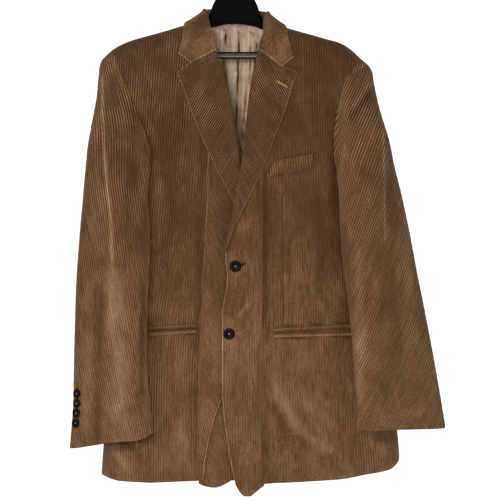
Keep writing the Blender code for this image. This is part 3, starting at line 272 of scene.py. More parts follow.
def fold_row(side, z, x_outer, x_inner):
    """x and lift along a row: straight, an arc forward, a run, an arc back, straight to the edge."""
    edge, angle, radius, run = (float(smooth(z, FOLD[side]["z"], FOLD[side][column]))
                                for column in ("edge", "angle", "radius", "run"))
    angle = math.radians(angle)
    p0, p1 = -side * x_outer, -side * x_inner
    second = min(-side * edge + radius * math.sin(min(angle, math.pi / 2)), p0 + FOLD_LIMIT * (p1 - p0))
    first = second - 2 * radius * math.sin(angle) - run * math.cos(angle)
    height = 2 * radius * (1 - math.cos(angle)) + run * math.sin(angle)
    before, turning, between, back, after = FOLD_STEPS
    a, b = angle * np.linspace(0, 1, turning + 1), angle * np.linspace(1, 0, back + 1)
    outer, inner = np.linspace(0, 1, before + 1)[:-1], np.linspace(0, 1, after + 1)[1:]
    forward, lift_forward = first + radius * np.sin(a), radius * (1 - np.cos(a))
    backward, lift_backward = second - radius * np.sin(b), height - radius * (1 - np.cos(b))
    along = np.linspace(0, 1, between + 1)[1:-1]
    p = np.concatenate([p0 + (first - p0) * outer, forward, forward[-1] + (backward[0] - forward[-1]) * along,
                        backward, second + (p1 - second) * inner])
    lift = np.concatenate([0 * outer, lift_forward,
                           lift_forward[-1] + (lift_backward[0] - lift_forward[-1]) * along, lift_backward,
                           height + 0 * inner])
    return -side * p, lift


def row_heights(side, x, x_in, z_in, x_out, z_out, level):
    """Heights along a row: a straight line, riding on the ridge's curve as far as it isn't level."""
    share = (x - x_in) / (x_out - x_in)
    top, top_in, top_out = (ridge(side, np.abs(value)) for value in (x, x_in, x_out))
    return z_in + (z_out - z_in) * share + (1 - level) * (top - top_in - (top_out - top_in) * share)


def front_grid(side):
    """Rows from the shoulder seam to the hem, columns from the armhole and side seam inwards."""
    neck_z = neck_point(side)[1]
    ends = []
    for turn, z_in in zip(FRONT_ARM_TURN, FRONT_ARM_INNER_Z):
        x_out, _, z_out = armhole(side, turn)
        ends.append((x_out, z_out, neck_z if z_in is None else z_in))
    hem = FRONT_HEM[side]
    for z_out, z_in in zip(SEAM_ROWS + (hem["z"][0],), FRONT_SEAM_INNER_Z + (hem["z"][-1],)):
        ends.append((side * float(smooth(z_out, SIDE_SEAM["z"], SIDE_SEAM[side, "front"])), z_out, z_in))
    grid = []
    for x_out, z_out, z_in in ends:
        x_in = float(inner_x(side, z_in))
        x, lift = fold_row(side, z_in, x_out, x_in)
        level = ease((neck_z - z_in) / (2 * SHOULDER_ROUND))
        z = row_heights(side, x, x_in, z_in, x_out, z_out, float(level))
        if z_in == hem["z"][-1]:
            z = smooth(np.linspace(0, 1, len(x)), hem["share"], hem["z"])
        points = on_body(x, z)
        points[:, 1] -= lift
        grid.append(points)
    return np.array(grid)


def back_grid(side):
    """Rows from the shoulder and neck to the hem, columns from the centre seam outwards."""
    neck_x = neck_point(side)[0]
    ends = [(neck_x * share, float(ridge(side, abs(neck_x * share))) - drop)
            for share, drop in zip(BACK_NECK_SHARE, BACK_NECK_DROP)]
    ends += [(0.0, z_in) for z_in in BACK_CENTRE_Z]
    rows = []
    for (x_in, z_in), turn in zip(ends, BACK_ARM_TURN):
        end = armhole(side, turn)
        rows.append((turn_at(side, abs(x_in), z_in, "back"), z_in,
                     turn_at(side, abs(end[0]), end[2], "back"), end[2]))
    for z_in, z_out in [(z, z) for z in SEAM_ROWS] + [BACK_HEM[side]]:
        seam = smooth(z_out, SIDE_SEAM["z"], SIDE_SEAM[side, "back"])
        rows.append((180.0, z_in, turn_at(side, seam, z_out, "back"), z_out))
    share = np.linspace(0, 1, BACK_COLUMNS)
    grid = []
    for number, (turn_in, z_in, turn_out, z_out) in enumerate(rows):
        level = float(ease(number / len(ends)))
        x = body(side, turn_in + (turn_out - turn_in) * share, z_in + (z_out - z_in) * share)[:, 0]
        z = row_heights(side, x, x[0], z_in, x[-1], z_out, level)
        grid.append(body(side, turn_at(side, np.abs(x), z, "back"), z))
    return np.array(grid)


def side_grid(side):
    """Rows from the underarm to the hem, columns from the front seam round to the back one."""
    share = np.linspace(0, 1, len(SIDE_ARM_TURN))
    hem = np.array(SIDE_HEM[side], float)
    line = hem[0] + (hem[-1] - hem[0]) * share
    rows = [z + (hem - line) * ease((HEM_FADE - z) / (HEM_FADE - hem[0])) for z in SEAM_ROWS] + [hem]
    grid = [armhole(side, np.array(SIDE_ARM_TURN))]
    for heights in rows:
        first, last = (turn_at(side, smooth(z, SIDE_SEAM["z"], SIDE_SEAM[side, face]), z, face)
                       for z, face in ((heights[0], "front"), (heights[-1], "back")))
        grid.append(body(side, first + (last - first) * share, heights))
    return np.array(grid)

# %% [markdown]
# ## Sleeves
#
# A tailored sleeve has two pieces, a wide top sleeve and a narrow under sleeve. It starts on the
# armhole's own loop and fades into a hanging tube: a squared oval that narrows to the cuff and is
# turned so that its inner edge comes forward. Where it would sink into the body it is pushed clear.

# %% Sleeve tables and their surface
SLEEVE_Z = (-225, -280, -332, -384, -440, -500, -570, -650, -730, -800, -850, -885)
SLEEVE_HALF = (46, 48, 48, 46, 43, 38, 32, 26, 21, 17, 15)
SLEEVE_YAW = (12, 16, 20, 22, 24, 24, 24, 22, 20, 18, 16, 15, 15)
SLEEVE_Y = (-8, -14, -22, -28, -34, -40, -45, -50, -54, -57, -58, -58, -58)
SLEEVE = {RIGHT: {"z": (-190,) + SLEEVE_Z,
                  "outer": (212, 233, 242, 249, 256, 261, 266, 272, 275, 277, 278, 282.5, 284.5),
                  "inner": (150, 148, 146, 144, 142, 143, 144, 146, 150, 150, 145, 139, 137),
                  "half": (26, 38) + SLEEVE_HALF, "yaw": SLEEVE_YAW, "y": SLEEVE_Y},
          LEFT: {"z": (-200,) + SLEEVE_Z,
                 "outer": (216, 238, 250.5, 261, 272, 286, 299, 312, 328, 343, 355, 363, 366),
                 "inner": (160, 164, 168, 170, 171, 174, 179, 186, 196, 203, 207, 208, 208),
                 "half": (24, 36) + SLEEVE_HALF, "yaw": SLEEVE_YAW, "y": SLEEVE_Y}}
CUFF = {"turn": (0, 45, 90, 135, 180, 225, 270, 315, 360),
        RIGHT: (-882, -881, -871, -865, -853, -860, -868, -877, -882),
        LEFT: (-846, -848, -849, -851, -846, -850, -850, -848, -846)}
SLEEVE_POWER, CAP_BLEND = 2.4, 105.0
BODY_CLEARANCE, CLEARANCE_DROP, PUSH_SOFTNESS = 5.0, 35.0, 0.05
TOP_SLEEVE_TURN = (-10, -3, 0, 3, 9, 20, 38, 64, 96, 130, 162, 190)
UNDER_SLEEVE_TURN = (190, 203, 215, 228, 240, 258, 278, 300, 320, 338, 350)
SLEEVE_ROWS = (0.0, 0.03, 0.07, 0.12, 0.18, 0.26, 0.35, 0.46, 0.57, 0.68, 0.79, 0.9, 1.0)


def tube(side, turn, z):
    """Point of the hanging sleeve: a squared oval of power p, turned by the yaw about a vertical line."""
    table = SLEEVE[side]
    outer, inner, half, yaw, y = (smooth(z, table["z"], table[column])
                                  for column in ("outer", "inner", "half", "yaw", "y"))
    yaw, angle = np.radians(yaw), np.radians(turn)
    dual = SLEEVE_POWER / (SLEEVE_POWER - 1)
    length = (((outer - inner) / 2) ** dual - (half * np.sin(yaw)) ** dual) ** (1 / dual) / np.cos(yaw)
    along = length * np.sign(np.cos(angle)) * np.abs(np.cos(angle)) ** (2 / SLEEVE_POWER)
    forward = half * np.sign(np.sin(angle)) * np.abs(np.sin(angle)) ** (2 / SLEEVE_POWER)
    out = (outer + inner) / 2 + along * np.cos(yaw) + forward * np.sin(yaw)
    return np.stack([side * out, y + along * np.sin(yaw) - forward * np.cos(yaw), z], axis=-1)


def clear_of_body(side, points, clearance):
    """Push points that reach into the body's section out of it, softly."""
    z = points[..., 2]
    deep = np.where(points[..., 1] < 0, smooth(z, BODY["z"], BODY["front"]),
                    smooth(z, BODY["z"], BODY["back"]))
    out = np.clip(side * points[..., 0], 1.0, None)
    reach = ((out / (half_width(side, z) + clearance)) ** SECTION_POWER
             + (np.abs(points[..., 1]) / (deep + clearance)) ** SECTION_POWER) ** (1 / SECTION_POWER)
    excess = 1.0 / reach - 1.0
    push = 1.0 + (excess + np.hypot(excess, PUSH_SOFTNESS)) / 2
    return points * np.stack([push, push, np.ones_like(push)], axis=-1)


def sleeve_grid(side, turns):
    """Rows from the armhole to the cuff, columns round the arm."""
    turn = np.array(turns, float)
    start = armhole(side, turn)
    cuff = smooth(np.mod(turn, 360.0), CUFF["turn"], CUFF[side])
    grid = [start]
    for share in SLEEVE_ROWS[1:]:
        z = start[:, 2] + (cuff - start[:, 2]) * share
        drop = start[:, 2] - z
        fade = 1 - ease(drop / CAP_BLEND)
        points = tube(side, turn, z) + (start - tube(side, turn, start[:, 2])) * fade[:, None]
        points[:, 2] = z
        grid.append(clear_of_body(side, points, BODY_CLEARANCE * np.clip(drop / CLEARANCE_DROP, 0, 1)))
    return np.array(grid)

# %% [markdown]
# ## Lapels and collar
#
# A lapel is the top of the front turned outwards along its roll line, and the collar is a strip with
# a stand and a fall, folded over at the neck. Both lie on the fronts, so their points are found by
# shooting a line at the front's surface, or by moving a point out along its nearest normal. Only the
# coarse cage is placed so; `refine` makes the fine surface from it.

# %% Lapel and collar tables and their surfaces
ROLL_TURN = (0, 45, 90, 135, 180)
LEAF_LIFT, ROLL_FADE = 4.1, 34.0
LEAF_SHARE, NOTCH_COLUMN, RIDGE_STATION = (0.0, 0.16, 0.36, 0.56, 0.78, 1.0), 3, 5
LAPEL = {RIGHT: {"notch": (-76, -216),
                 "x": (-101, -91, -79, -66, -46, -25, -4, 9, 13.5),
                 "z": (-234, -257, -290, -325, -371, -413, -455, -500, -541)},
         LEFT: {"notch": (80, -222),
                "x": (109, 99, 90, 74, 56, 38, 17, 0, -15),
                "z": (-233, -256, -290, -332, -378, -422, -464, -500, -541)}}
COLLAR = {"stand": (1.0, 2.0, 4.0, 7.5, 11.0, 14.0, 15.0, 18.0, 22.0, 27.0, 28.0),
          "rise": (0, 10, 24, 42, 58, 72, 66, 54, 38, 22, 16),
          "curl": (1.0, 0.9, 0.75, 0.55, 0.35, 0.2, 0.25, 0.45, 0.7, 0.9, 1.0),
          RIGHT: {"x": (-98, -93, -90, -89, -88, -87, -85, -78, -60, -33, 0),
                  "z": (-200, -186, -172, -162, -157, None, -157, -163, -172, -180, -184)},
          LEFT: {"x": (102, 96, 92, 90, 89, 87, 85, 78, 60, 33, 0),
                 "z": (-207, -191, -177, -166, -160, None, -160, -166, -174, -181, -184)}}
COLLAR_REST, COLLAR_BEND = 4.1, 0.35
FAR = 1000.0


def face_of(grid, outward):
    """A grid's faces, ready to be met by a straight line or by the nearest point."""
    index = np.arange(grid[..., 0].size).reshape(grid.shape[:2])
    quads = np.stack([index[:-1, :-1], index[1:, :-1], index[1:, 1:], index[:-1, 1:]], axis=-1)
    return BVHTree.FromPolygons(grid.reshape(-1, 3).tolist(), quads[..., ::-outward].reshape(-1, 4).tolist())


def on_front(face, x, z, lift):
    """Points over a front's foremost layer, moved out from it."""
    x, z, lift = np.broadcast_arrays(*(np.asarray(value, float) for value in (x, z, lift)))
    points = np.stack([x, np.zeros(x.shape), z], axis=-1)
    for place in np.ndindex(x.shape):
        met = face.ray_cast(Vector((x[place], -FAR, z[place])), Vector((0.0, 1.0, 0.0)))[0]
        if met is None:
            met = face.find_nearest(Vector((x[place], -SHOULDER_ROUND, z[place])))[0]
        points[place][1] = met.y - lift[place]
    return points


def roll_arc(start, up, lean):
    """A roll's points: start, then round half a turn from lean's far side to above it."""
    return [start + ROLL_RADIUS * (lean + math.sin(angle) * up - math.cos(angle) * lean)
            for angle in np.radians(ROLL_TURN)]


def leaf_row(side, face, z_in, corner, tip):
    """One row of a lapel or of the collar's end: the roll, then the leaf to its outer edge."""
    x_in = float(inner_x(side, z_in))
    inward, outward = np.array([-side, 0.0, 0.0]), np.array([0.0, -1.0, 0.0])
    start = on_front(face, x_in, z_in, -CLOTH) + inward * SEAM_GAP / 2
    share = np.array(LEAF_SHARE[1:])
    bend, middle = LEAF_SHARE[NOTCH_COLUMN], corner or (x_in + (tip[0] - x_in) * LEAF_SHARE[NOTCH_COLUMN],
                                                        z_in + (tip[1] - z_in) * LEAF_SHARE[NOTCH_COLUMN])
    x = np.interp(share, (0, bend, 1), (x_in, middle[0], tip[0]))
    z = np.interp(share, (0, bend, 1), (z_in, middle[1], tip[1]))
    away = np.hypot(x - x_in, z - z_in)
    lift = LEAF_LIFT + (2 * ROLL_RADIUS - CLOTH - LEAF_LIFT) * (1 - ease(away / ROLL_FADE))
    return np.array([start] + roll_arc(start + inward * ROLL_START, inward, outward)
                    + list(on_front(face, x, z, lift)))


def lapel_grid(side, face):
    """Rows from the gorge down the roll line to the break."""
    rows_z = (FRONT_ARM_INNER_Z + FRONT_SEAM_INNER_Z)[GORGE_ROW:BREAK_ROW + 1]
    shape = LAPEL[side]
    tips = zip(rows_z, (shape["notch"],) + (None,) * len(rows_z), shape["x"], shape["z"])
    return np.array([leaf_row(side, face, max(z_in, BREAK_Z + 2.0), corner, (x, z))
                     for z_in, corner, x, z in tips])


def keep_off(points, faces, distance):
    """Move points that are nearer to a face than a distance, or under it, out along its normal."""
    moved = np.array(points, float)
    for point in moved:
        for face in faces:
            near, normal = (np.array(value) for value in face.find_nearest(Vector(point))[:2])
            height = float(np.dot(point - near, normal))
            if height < distance and np.linalg.norm(point - near) < 4 * distance:
                point += normal * (distance - height)
    return moved


def ridge_normal(side, x, step=1.0):
    """Normal along the shoulder seam: square to the ridge, and upright."""
    slope = (ridge(side, np.abs(x) + step) - ridge(side, np.abs(x) - step)) / (2 * step) * side
    normal = np.stack([-slope, np.zeros_like(slope), np.ones_like(slope)], axis=-1)
    return normal / np.linalg.norm(normal, axis=-1, keepdims=True)


def neckline(side):
    """Stations of the neckline from the gorge to the centre back: points and surface normals."""
    neck_x, neck_z = neck_point(side)
    front_z = np.array(FRONT_ARM_INNER_Z[GORGE_ROW:0:-1], float)
    front_turn = turn_at(side, np.abs(inner_x(side, front_z)), front_z, "front")
    back_x = np.abs(neck_x) * np.array(BACK_NECK_SHARE[1:])
    back_z = ridge(side, back_x) - np.array(BACK_NECK_DROP[1:])
    back_turn = turn_at(side, back_x, back_z, "back")
    points = [body(side, front_turn, front_z), [[neck_x, 0.0, neck_z]], body(side, back_turn, back_z)]
    normals = [body_normal(side, front_turn, front_z), ridge_normal(side, np.array([neck_x])),
               body_normal(side, back_turn, back_z)]
    return np.concatenate(points), np.concatenate(normals)


def collar_rows(side, faces):
    """Rows from the gorge to the centre back: up the stand, over the fold and down the fall.

    At each station the cloth rises from the neckline by an angle, folds over a half turn, and falls on
    a curve of two straight pulls to its outer edge, which rests just above the body.
    """
    shape = COLLAR[side]
    points, normals = neckline(side)
    along = np.gradient(points, axis=0)
    along[-1] = (-side, 0.0, 0.0)
    rows = [leaf_row(side, faces["front"], float(points[0, 2]), LAPEL[side]["notch"],
                     (shape["x"][0], shape["z"][0]))]
    for station in range(1, len(points)):
        outward = normals[station]
        inward = np.cross(outward, along[station]) * side
        inward /= np.linalg.norm(inward)
        rise = math.radians(COLLAR["rise"][station])
        up = inward * math.cos(rise) + outward * math.sin(rise)
        lean = outward * math.cos(rise) - inward * math.sin(rise)
        start = (points[station] + inward * (SEAM_GAP / 2 + CLOTH * math.sin(rise))
                 - outward * CLOTH * math.cos(rise))
        arc = roll_arc(start + up * COLLAR["stand"][station], up, lean)
        x, z = shape["x"][station], shape["z"][station]
        if z is None:
            edge = np.array([x, 0.0, float(ridge(side, abs(x))) + COLLAR_REST])
        else:
            turn = float(turn_at(side, abs(x), z, "front" if station < RIDGE_STATION else "back"))
            edge = body(side, turn, z) + COLLAR_REST * body_normal(side, turn, z)
        curled, curl = arc[-1] - up * COLLAR_BEND * np.linalg.norm(edge - arc[-1]), COLLAR["curl"][station]
        bend = curled * curl + (arc[-1] + edge) / 2 * (1 - curl)
        share = np.array(LEAF_SHARE[1:])[:, None]
        fall = arc[-1] * (1 - share) ** 2 + 2 * bend * share * (1 - share) + edge * share ** 2
        fall = keep_off(fall, (faces["front"], faces["back"]), COLLAR_REST)
        rows.append(np.array([start] + arc + list(fall)))
    return rows


def collar_grid(faces):
    """Rows from the wearer's right end round the neck to the left one."""
    right, left = collar_rows(RIGHT, faces[RIGHT]), collar_rows(LEFT, faces[LEFT])
    middle = (right[-1] + left[-1]) / 2
    middle[:, 0] = 0.0
    return np.array(right[:-1] + [middle] + left[-2::-1])

# %% [markdown]
# ## Wales
#
# Corduroy's ridges are what the eye meets first, so they are real relief here as well as colour. A
# wale follows the cloth and not the outline: each piece has a coordinate across its wales, in
# millimetres, that is the arc along its rows. On the lapels the cloth's grain leans, because the front
# is turned over. Real wales of about 3 mm would fall between the picture's pixels, so they are drawn
# coarser: at 3.6 mm on the lapels and the collar, 3.95 mm on the sleeves and 4.35 mm on the body.

# %% Wales and creases as functions
WALE_PITCH = 3.6                # on the lapels, in mm; the grain map of every piece counts in this pitch
SLEEVE_PITCH, BODY_PITCH = 3.95, 4.35
WALE_HIGH = 0.2                 # half of the height from a groove to a wale's top
LAPEL_LEAN = 30.0               # degrees that the lapel's grain leans
BAND_LEAN = 15.0                # and that of the right front between its fold and its edge


def wale_relief(u):
    """Height of the pile: a cosine of the coordinate across the wales."""
    return WALE_HIGH * np.cos(2 * np.pi * u / WALE_PITCH)


def row_arc(grid, flat=True):
    """Distance along each row from its first point, seen from above if flat."""
    step = np.diff(grid, axis=1)
    length = np.linalg.norm(step[..., :2] if flat else step, axis=-1)
    return np.concatenate([np.zeros((len(grid), 1)), np.cumsum(length, axis=1)], axis=1)


def edge_distances(grid):
    """Distances in mm to the first and last row and to the first and last column, along the cloth."""
    across = row_arc(grid, flat=False)
    down = row_arc(np.swapaxes(grid, 0, 1), flat=False).T
    return down, down[-1:] - down, across, across[:, -1:] - across


LINE_FADE = 1.67                # how far inside its end a line starts to fade, in its own widths


def crease_relief(points, table):
    """Sum of soft ridges (+) and troughs (-) along straight lines of the drawing.

    Each is high times exp(-(d/wide)²), where d is the distance from its line in x and z. Its ends fade
    over twice its width, from a little inside the line, so that lines set end to end join evenly.
    """
    x, z = points[..., 0], points[..., 2]
    relief = np.zeros(x.shape)
    for x0, z0, x1, z1, wide, high in table:
        long = math.hypot(x1 - x0, z1 - z0)
        ex, ez = (x1 - x0) / long, (z1 - z0) / long
        along = (x - x0) * ex + (z - z0) * ez
        off = (x - x0) * ez - (z - z0) * ex
        inside = min(LINE_FADE * wide, long / 2)
        past = np.maximum(np.abs(along - long / 2) - long / 2 + inside, 0.0) / (2 * wide)
        relief += high * np.exp(-(off / wide) ** 2 - past ** 2)
    return relief

# %% [markdown]
# ## From a grid to cloth
#
# `cloth_piece` makes one cut piece. It moves each point out by the wales and creases, turns the edges in a
# little as a pressed seam does, and closes the wall with a plainer inner side. That inner side keeps only
# some of the points, because nobody looks at it closely. The wale coordinate becomes the piece's UV map, and
# two attributes go to the material: the creases, with painted highlights and painted shade laid over them,
# and how far the cloth lies from its finished edges, which are painted pale.

# %% Meshes of cloth
INNER_ROW_STEP, INNER_COLUMN_STEP = 5, 3
EDGE_TURN, EDGE_SOFT = 0.55, 1.4        # how deep and how wide an edge turns in, mm
EDGE_FLAT = 2.0                         # how far in from an edge the wales are pressed flat, mm
EDGE_STITCH = 3.2                       # from a finished edge to its row of stitches, mm
STITCH_DEEP, STITCH_SOFT = -0.35, 0.9   # how deep and how wide that row pulls the cloth in, mm
CREASE_FULL = 2.5                       # height of a crease that is painted quite pale on its ridge, as wear and highlight, and dark in its trough as shade, mm
CREASE_FACING = 1.5                     # creases fade where less than 1/1.5 of a wall's normal looks ahead
WORN_UNIT, WORN_MOST = 10.0, 9.9        # the worn mark is a distance in these mm, and its highest value
SHARP_EDGE = 55                         # degrees past which two faces don't share their shading
worked = {}                             # each finished piece's outer side, for what is sewn to it


def grid_normals(grid, outward):
    """Unit normals of a grid: the cross product of its two gradients."""
    normal = np.cross(np.gradient(grid, axis=1), np.gradient(grid, axis=0)) * outward
    return normal / np.maximum(np.linalg.norm(normal, axis=-1, keepdims=True), TINY)


def wall_faces(rows, columns, row_pick, column_pick, outward):
    """Corner lists of a wall: outer quads, inner quads, and a rim whose faces span several outer edges."""
    outer = np.arange(rows * columns).reshape(rows, columns)
    inner = rows * columns + np.arange(len(row_pick) * len(column_pick)).reshape(len(row_pick), -1)
    quads = []
    for index, flip in ((outer, outward), (inner, -outward)):
        faces = np.stack([index[:-1, :-1], index[:-1, 1:], index[1:, 1:], index[1:, :-1]], axis=-1)
        quads.append(faces.reshape(-1, 4)[:, ::flip])
    rim = []
    picks = ((outer[0], inner[0], column_pick), (outer[:, -1], inner[:, -1], row_pick),
             (outer[-1, ::-1], inner[-1, ::-1], columns - 1 - column_pick[::-1]),
             (outer[::-1, 0], inner[::-1, 0], rows - 1 - row_pick[::-1]))
    for far_line, near_line, pick in picks:
        for k in range(len(pick) - 1):
            face = list(far_line[pick[k]:pick[k + 1] + 1][::-1]) + [near_line[k], near_line[k + 1]]
            rim.append(face[::outward])
    return np.concatenate(quads), rim


def fill_mesh(name, points, quads, extra=()):
    """A mesh from arrays: points in mm, four-cornered faces, and some faces of any size."""
    mesh = bpy.data.meshes.new(name)
    corners = np.concatenate([quads.ravel()] + [np.array(face) for face in extra]).astype(np.int32)
    sizes = np.concatenate([np.full(len(quads), 4), [len(face) for face in extra]]).astype(np.int32)
    mesh.vertices.add(len(points))
    mesh.vertices.foreach_set("co", (points * MM).astype(np.float32).ravel())
    mesh.loops.add(len(corners))
    mesh.loops.foreach_set("vertex_index", corners)
    mesh.polygons.add(len(sizes))
    mesh.polygons.foreach_set("loop_start", np.concatenate([[0], np.cumsum(sizes)[:-1]]).astype(np.int32))
    mesh.update(calc_edges=True)
    mesh.shade_smooth()
    return mesh, corners


def finish_piece(item, node):
    """Link a piece, let it ride on the blazer's body, and hide any node of the model that it stands for."""
    bpy.context.scene.collection.objects.link(item)
    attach(item, "root")
    if node:
        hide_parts(*([node] if isinstance(node, str) else node))
    return item


def wall_piece(name, node, outer, under, thick, normals, u, v, marks, outward, material):
    """A closed wall between a detailed outer side and a plainer inner one."""
    rows, columns = outer.shape[:2]
    row_pick = np.unique(np.r_[0:rows:INNER_ROW_STEP, rows - 1])
    column_pick = np.unique(np.r_[0:columns:INNER_COLUMN_STEP, columns - 1])
    inner = (under - thick * normals)[np.ix_(row_pick, column_pick)]
    quads, rim = wall_faces(rows, columns, row_pick, column_pick, outward)
    mesh, corners = fill_mesh(name, np.concatenate([outer.reshape(-1, 3), inner.reshape(-1, 3)]), quads, rim)

    def both(values):
        """A value for each point of the outer side, then of the inner one."""
        return np.concatenate([values.ravel(), values[np.ix_(row_pick, column_pick)].ravel()])

    uv = np.stack([both(u), both(v)], axis=-1) * MM
    mesh.uv_layers.new(name="grain").data.foreach_set("uv", uv[corners].astype(np.float32).ravel())
    for mark, values in marks.items():
        attribute = mesh.attributes.new(mark, "FLOAT", "POINT")
        attribute.data.foreach_set("value", both(values).astype(np.float32))
    mesh.set_sharp_from_angle(angle=math.radians(SHARP_EDGE))
    mesh.materials.append(material)
    item = bpy.data.objects.new(name, mesh)
    return finish_piece(item, node)


def flat_size(grid):
    """A piece's cut in metres: its longest row and column, and the area of all its cells."""
    width = row_arc(grid, flat=False)[:, -1].max()
    length = row_arc(np.swapaxes(grid, 0, 1), flat=False)[:, -1].max()
    cells = np.cross(np.diff(grid, axis=1)[:-1], np.diff(grid, axis=0)[:, :-1])
    area = np.linalg.norm(cells, axis=-1).sum()
    return round(width * MM, 3), round(length * MM, 3), round(area * MM * MM, 4)


def cloth_piece(name, grid, outward, u, creases, material, free=(),
                thick=CLOTH, strokes=(), pitch=BODY_PITCH):
    """A cut piece of corduroy on its node's form. free names its sewn-off edges: top, hem, first, last.

    strokes are like creases, but only change the colour: painted highlights and painted shade on folds and
    hollows, painted cast shadows, and pressed or rubbed places.
    """
    normals = grid_normals(grid, outward)
    u = u * WALE_PITCH / pitch
    down = row_arc(np.swapaxes(grid, 0, 1), flat=False).T
    distance = dict(zip(("top", "hem", "first", "last"), edge_distances(grid)))
    nearest = np.minimum.reduce(list(distance.values()))
    unworn = np.full(u.shape, WORN_UNIT * WORN_MOST)
    worn = np.minimum.reduce([unworn] + [distance[edge] for edge in free])
    facing = ease((1 if "back" in name else -1) * CREASE_FACING * normals[..., 1])
    crease = crease_relief(grid, creases) * facing
    stitch_line = STITCH_DEEP * np.exp(-((worn - EDGE_STITCH) / STITCH_SOFT) ** 2)
    under = grid + crease[..., None] * normals
    turned = EDGE_TURN * np.exp(-(nearest / EDGE_SOFT) ** 2)
    flatten = 1 - np.exp(-(nearest / EDGE_FLAT) ** 2)
    relief = wale_relief(u) * flatten - turned + stitch_line
    outer = under + relief[..., None] * normals
    # the crease mark carries painted highlights and painted shade as well as the creases themselves
    marks = {"crease": crease / CREASE_FULL + crease_relief(grid, strokes), "worn": worn / WORN_UNIT}
    item = wall_piece(name + "_cloth", name, outer, under, thick, normals, u, down, marks, outward, material)
    say_sheet(item, grid)
    worked[name] = outer
    return item


LEAST_CUT = 0.01                        # a narrow lip is still cut from a strip of 10 mm


def say_sheet(item, grid):
    """Print a piece's cut as a sheet: its grid's own size, with its area and faces."""
    width, length, area = flat_size(grid)
    width, length = max(width, LEAST_CUT), max(length, LEAST_CUT)
    print(item.name, "flat", width, "x", length, "m, area", area, "faces", len(item.data.polygons))

# %% [markdown]
# ## Materials
#
# Colours are read off as sRGB hex and turned to linear, which is what Blender's shader wants.
# One small function adds a node with its settings and links.

# %% Node helper and colours
def linear(code):
    """sRGB hex to linear: c/12.92 when dark, otherwise ((c + 0.055)/1.055)^2.4."""
    channels = [int(code[k:k + 2], 16) / 255 for k in (1, 3, 5)]
    return tuple(c / 12.92 if c <= 0.04045 else ((c + 0.055) / 1.055) ** 2.4 for c in channels) + (1.0,)


def add_node(tree, kind, links=None, **settings):
    """Add a node: settings are properties or, with a number or name in quotes, input values."""
    node = tree.nodes.new(kind)
    inputs = settings.pop("inputs", {})
    for key, value in settings.items():
        setattr(node, key, value)
    for key, value in inputs.items():
        node.inputs[key].default_value = value
    for key, socket in (links or {}).items():
        tree.links.new(socket, node.inputs[key])
    return node


def new_material(name, **shader_inputs):
    """An empty node material with its Principled shader set; a constant goes straight on its socket."""
    material = bpy.data.materials.new(name)
    material.use_nodes = True
    shader = material.node_tree.nodes["Principled BSDF"]
    for key, value in shader_inputs.items():
        shader.inputs[key.replace("_", " ")].default_value = value
    return material, material.node_tree, shader


def ramp(tree, source, stops):
    """A colour ramp through (place, hex) stops."""
    node = add_node(tree, "ShaderNodeValToRGB", {"Fac": source})
    elements = node.color_ramp.elements
    while len(elements) < len(stops):
        elements.new(0.5)
    for element, (place, code) in zip(elements, stops):
        element.position, element.color = place, linear(code)
    return node.outputs["Color"]


# %% [markdown]
# ### Cotton corduroy
#
# Cotton corduroy is a cut pile: matt, painted dark in its grooves as the shade where the light is lost
# between the wales, and painted pale where the pile's tips catch the light at a slant, and where they have
# rubbed off. The wales come from the grain map, so they follow each piece. The pile lies a little differently
# from place to place, which gives soft streaks along the wales. Its colour is painted pale on the finished
# edges, as wear and as the highlight of their roll. It is painted pale on the ridges of creases and dark in
# their troughs, as wear and as painted highlight and shade, and paler towards the hem as painted light.

# %% Corduroy
# the palest colour is reached on rubbed places and on painted highlights
PILE_DARK, PILE, PILE_LIGHT, PILE_RUBBED_AND_LIT = "#241206", "#523820", "#876a4c", "#b3967a"
PILE_RED, PILE_OLIVE = "#68442d", "#5c452b"
TONE_MIDDLE = 0.42
CLOTH_TOP, CLOTH_LOW = -0.30, -0.78      # heights between which the cloth is painted paler towards the hem, as painted light, m
CRISP_TOP, CRISP_LOW = -0.28, -0.58      # and between which its wales lose their crispness


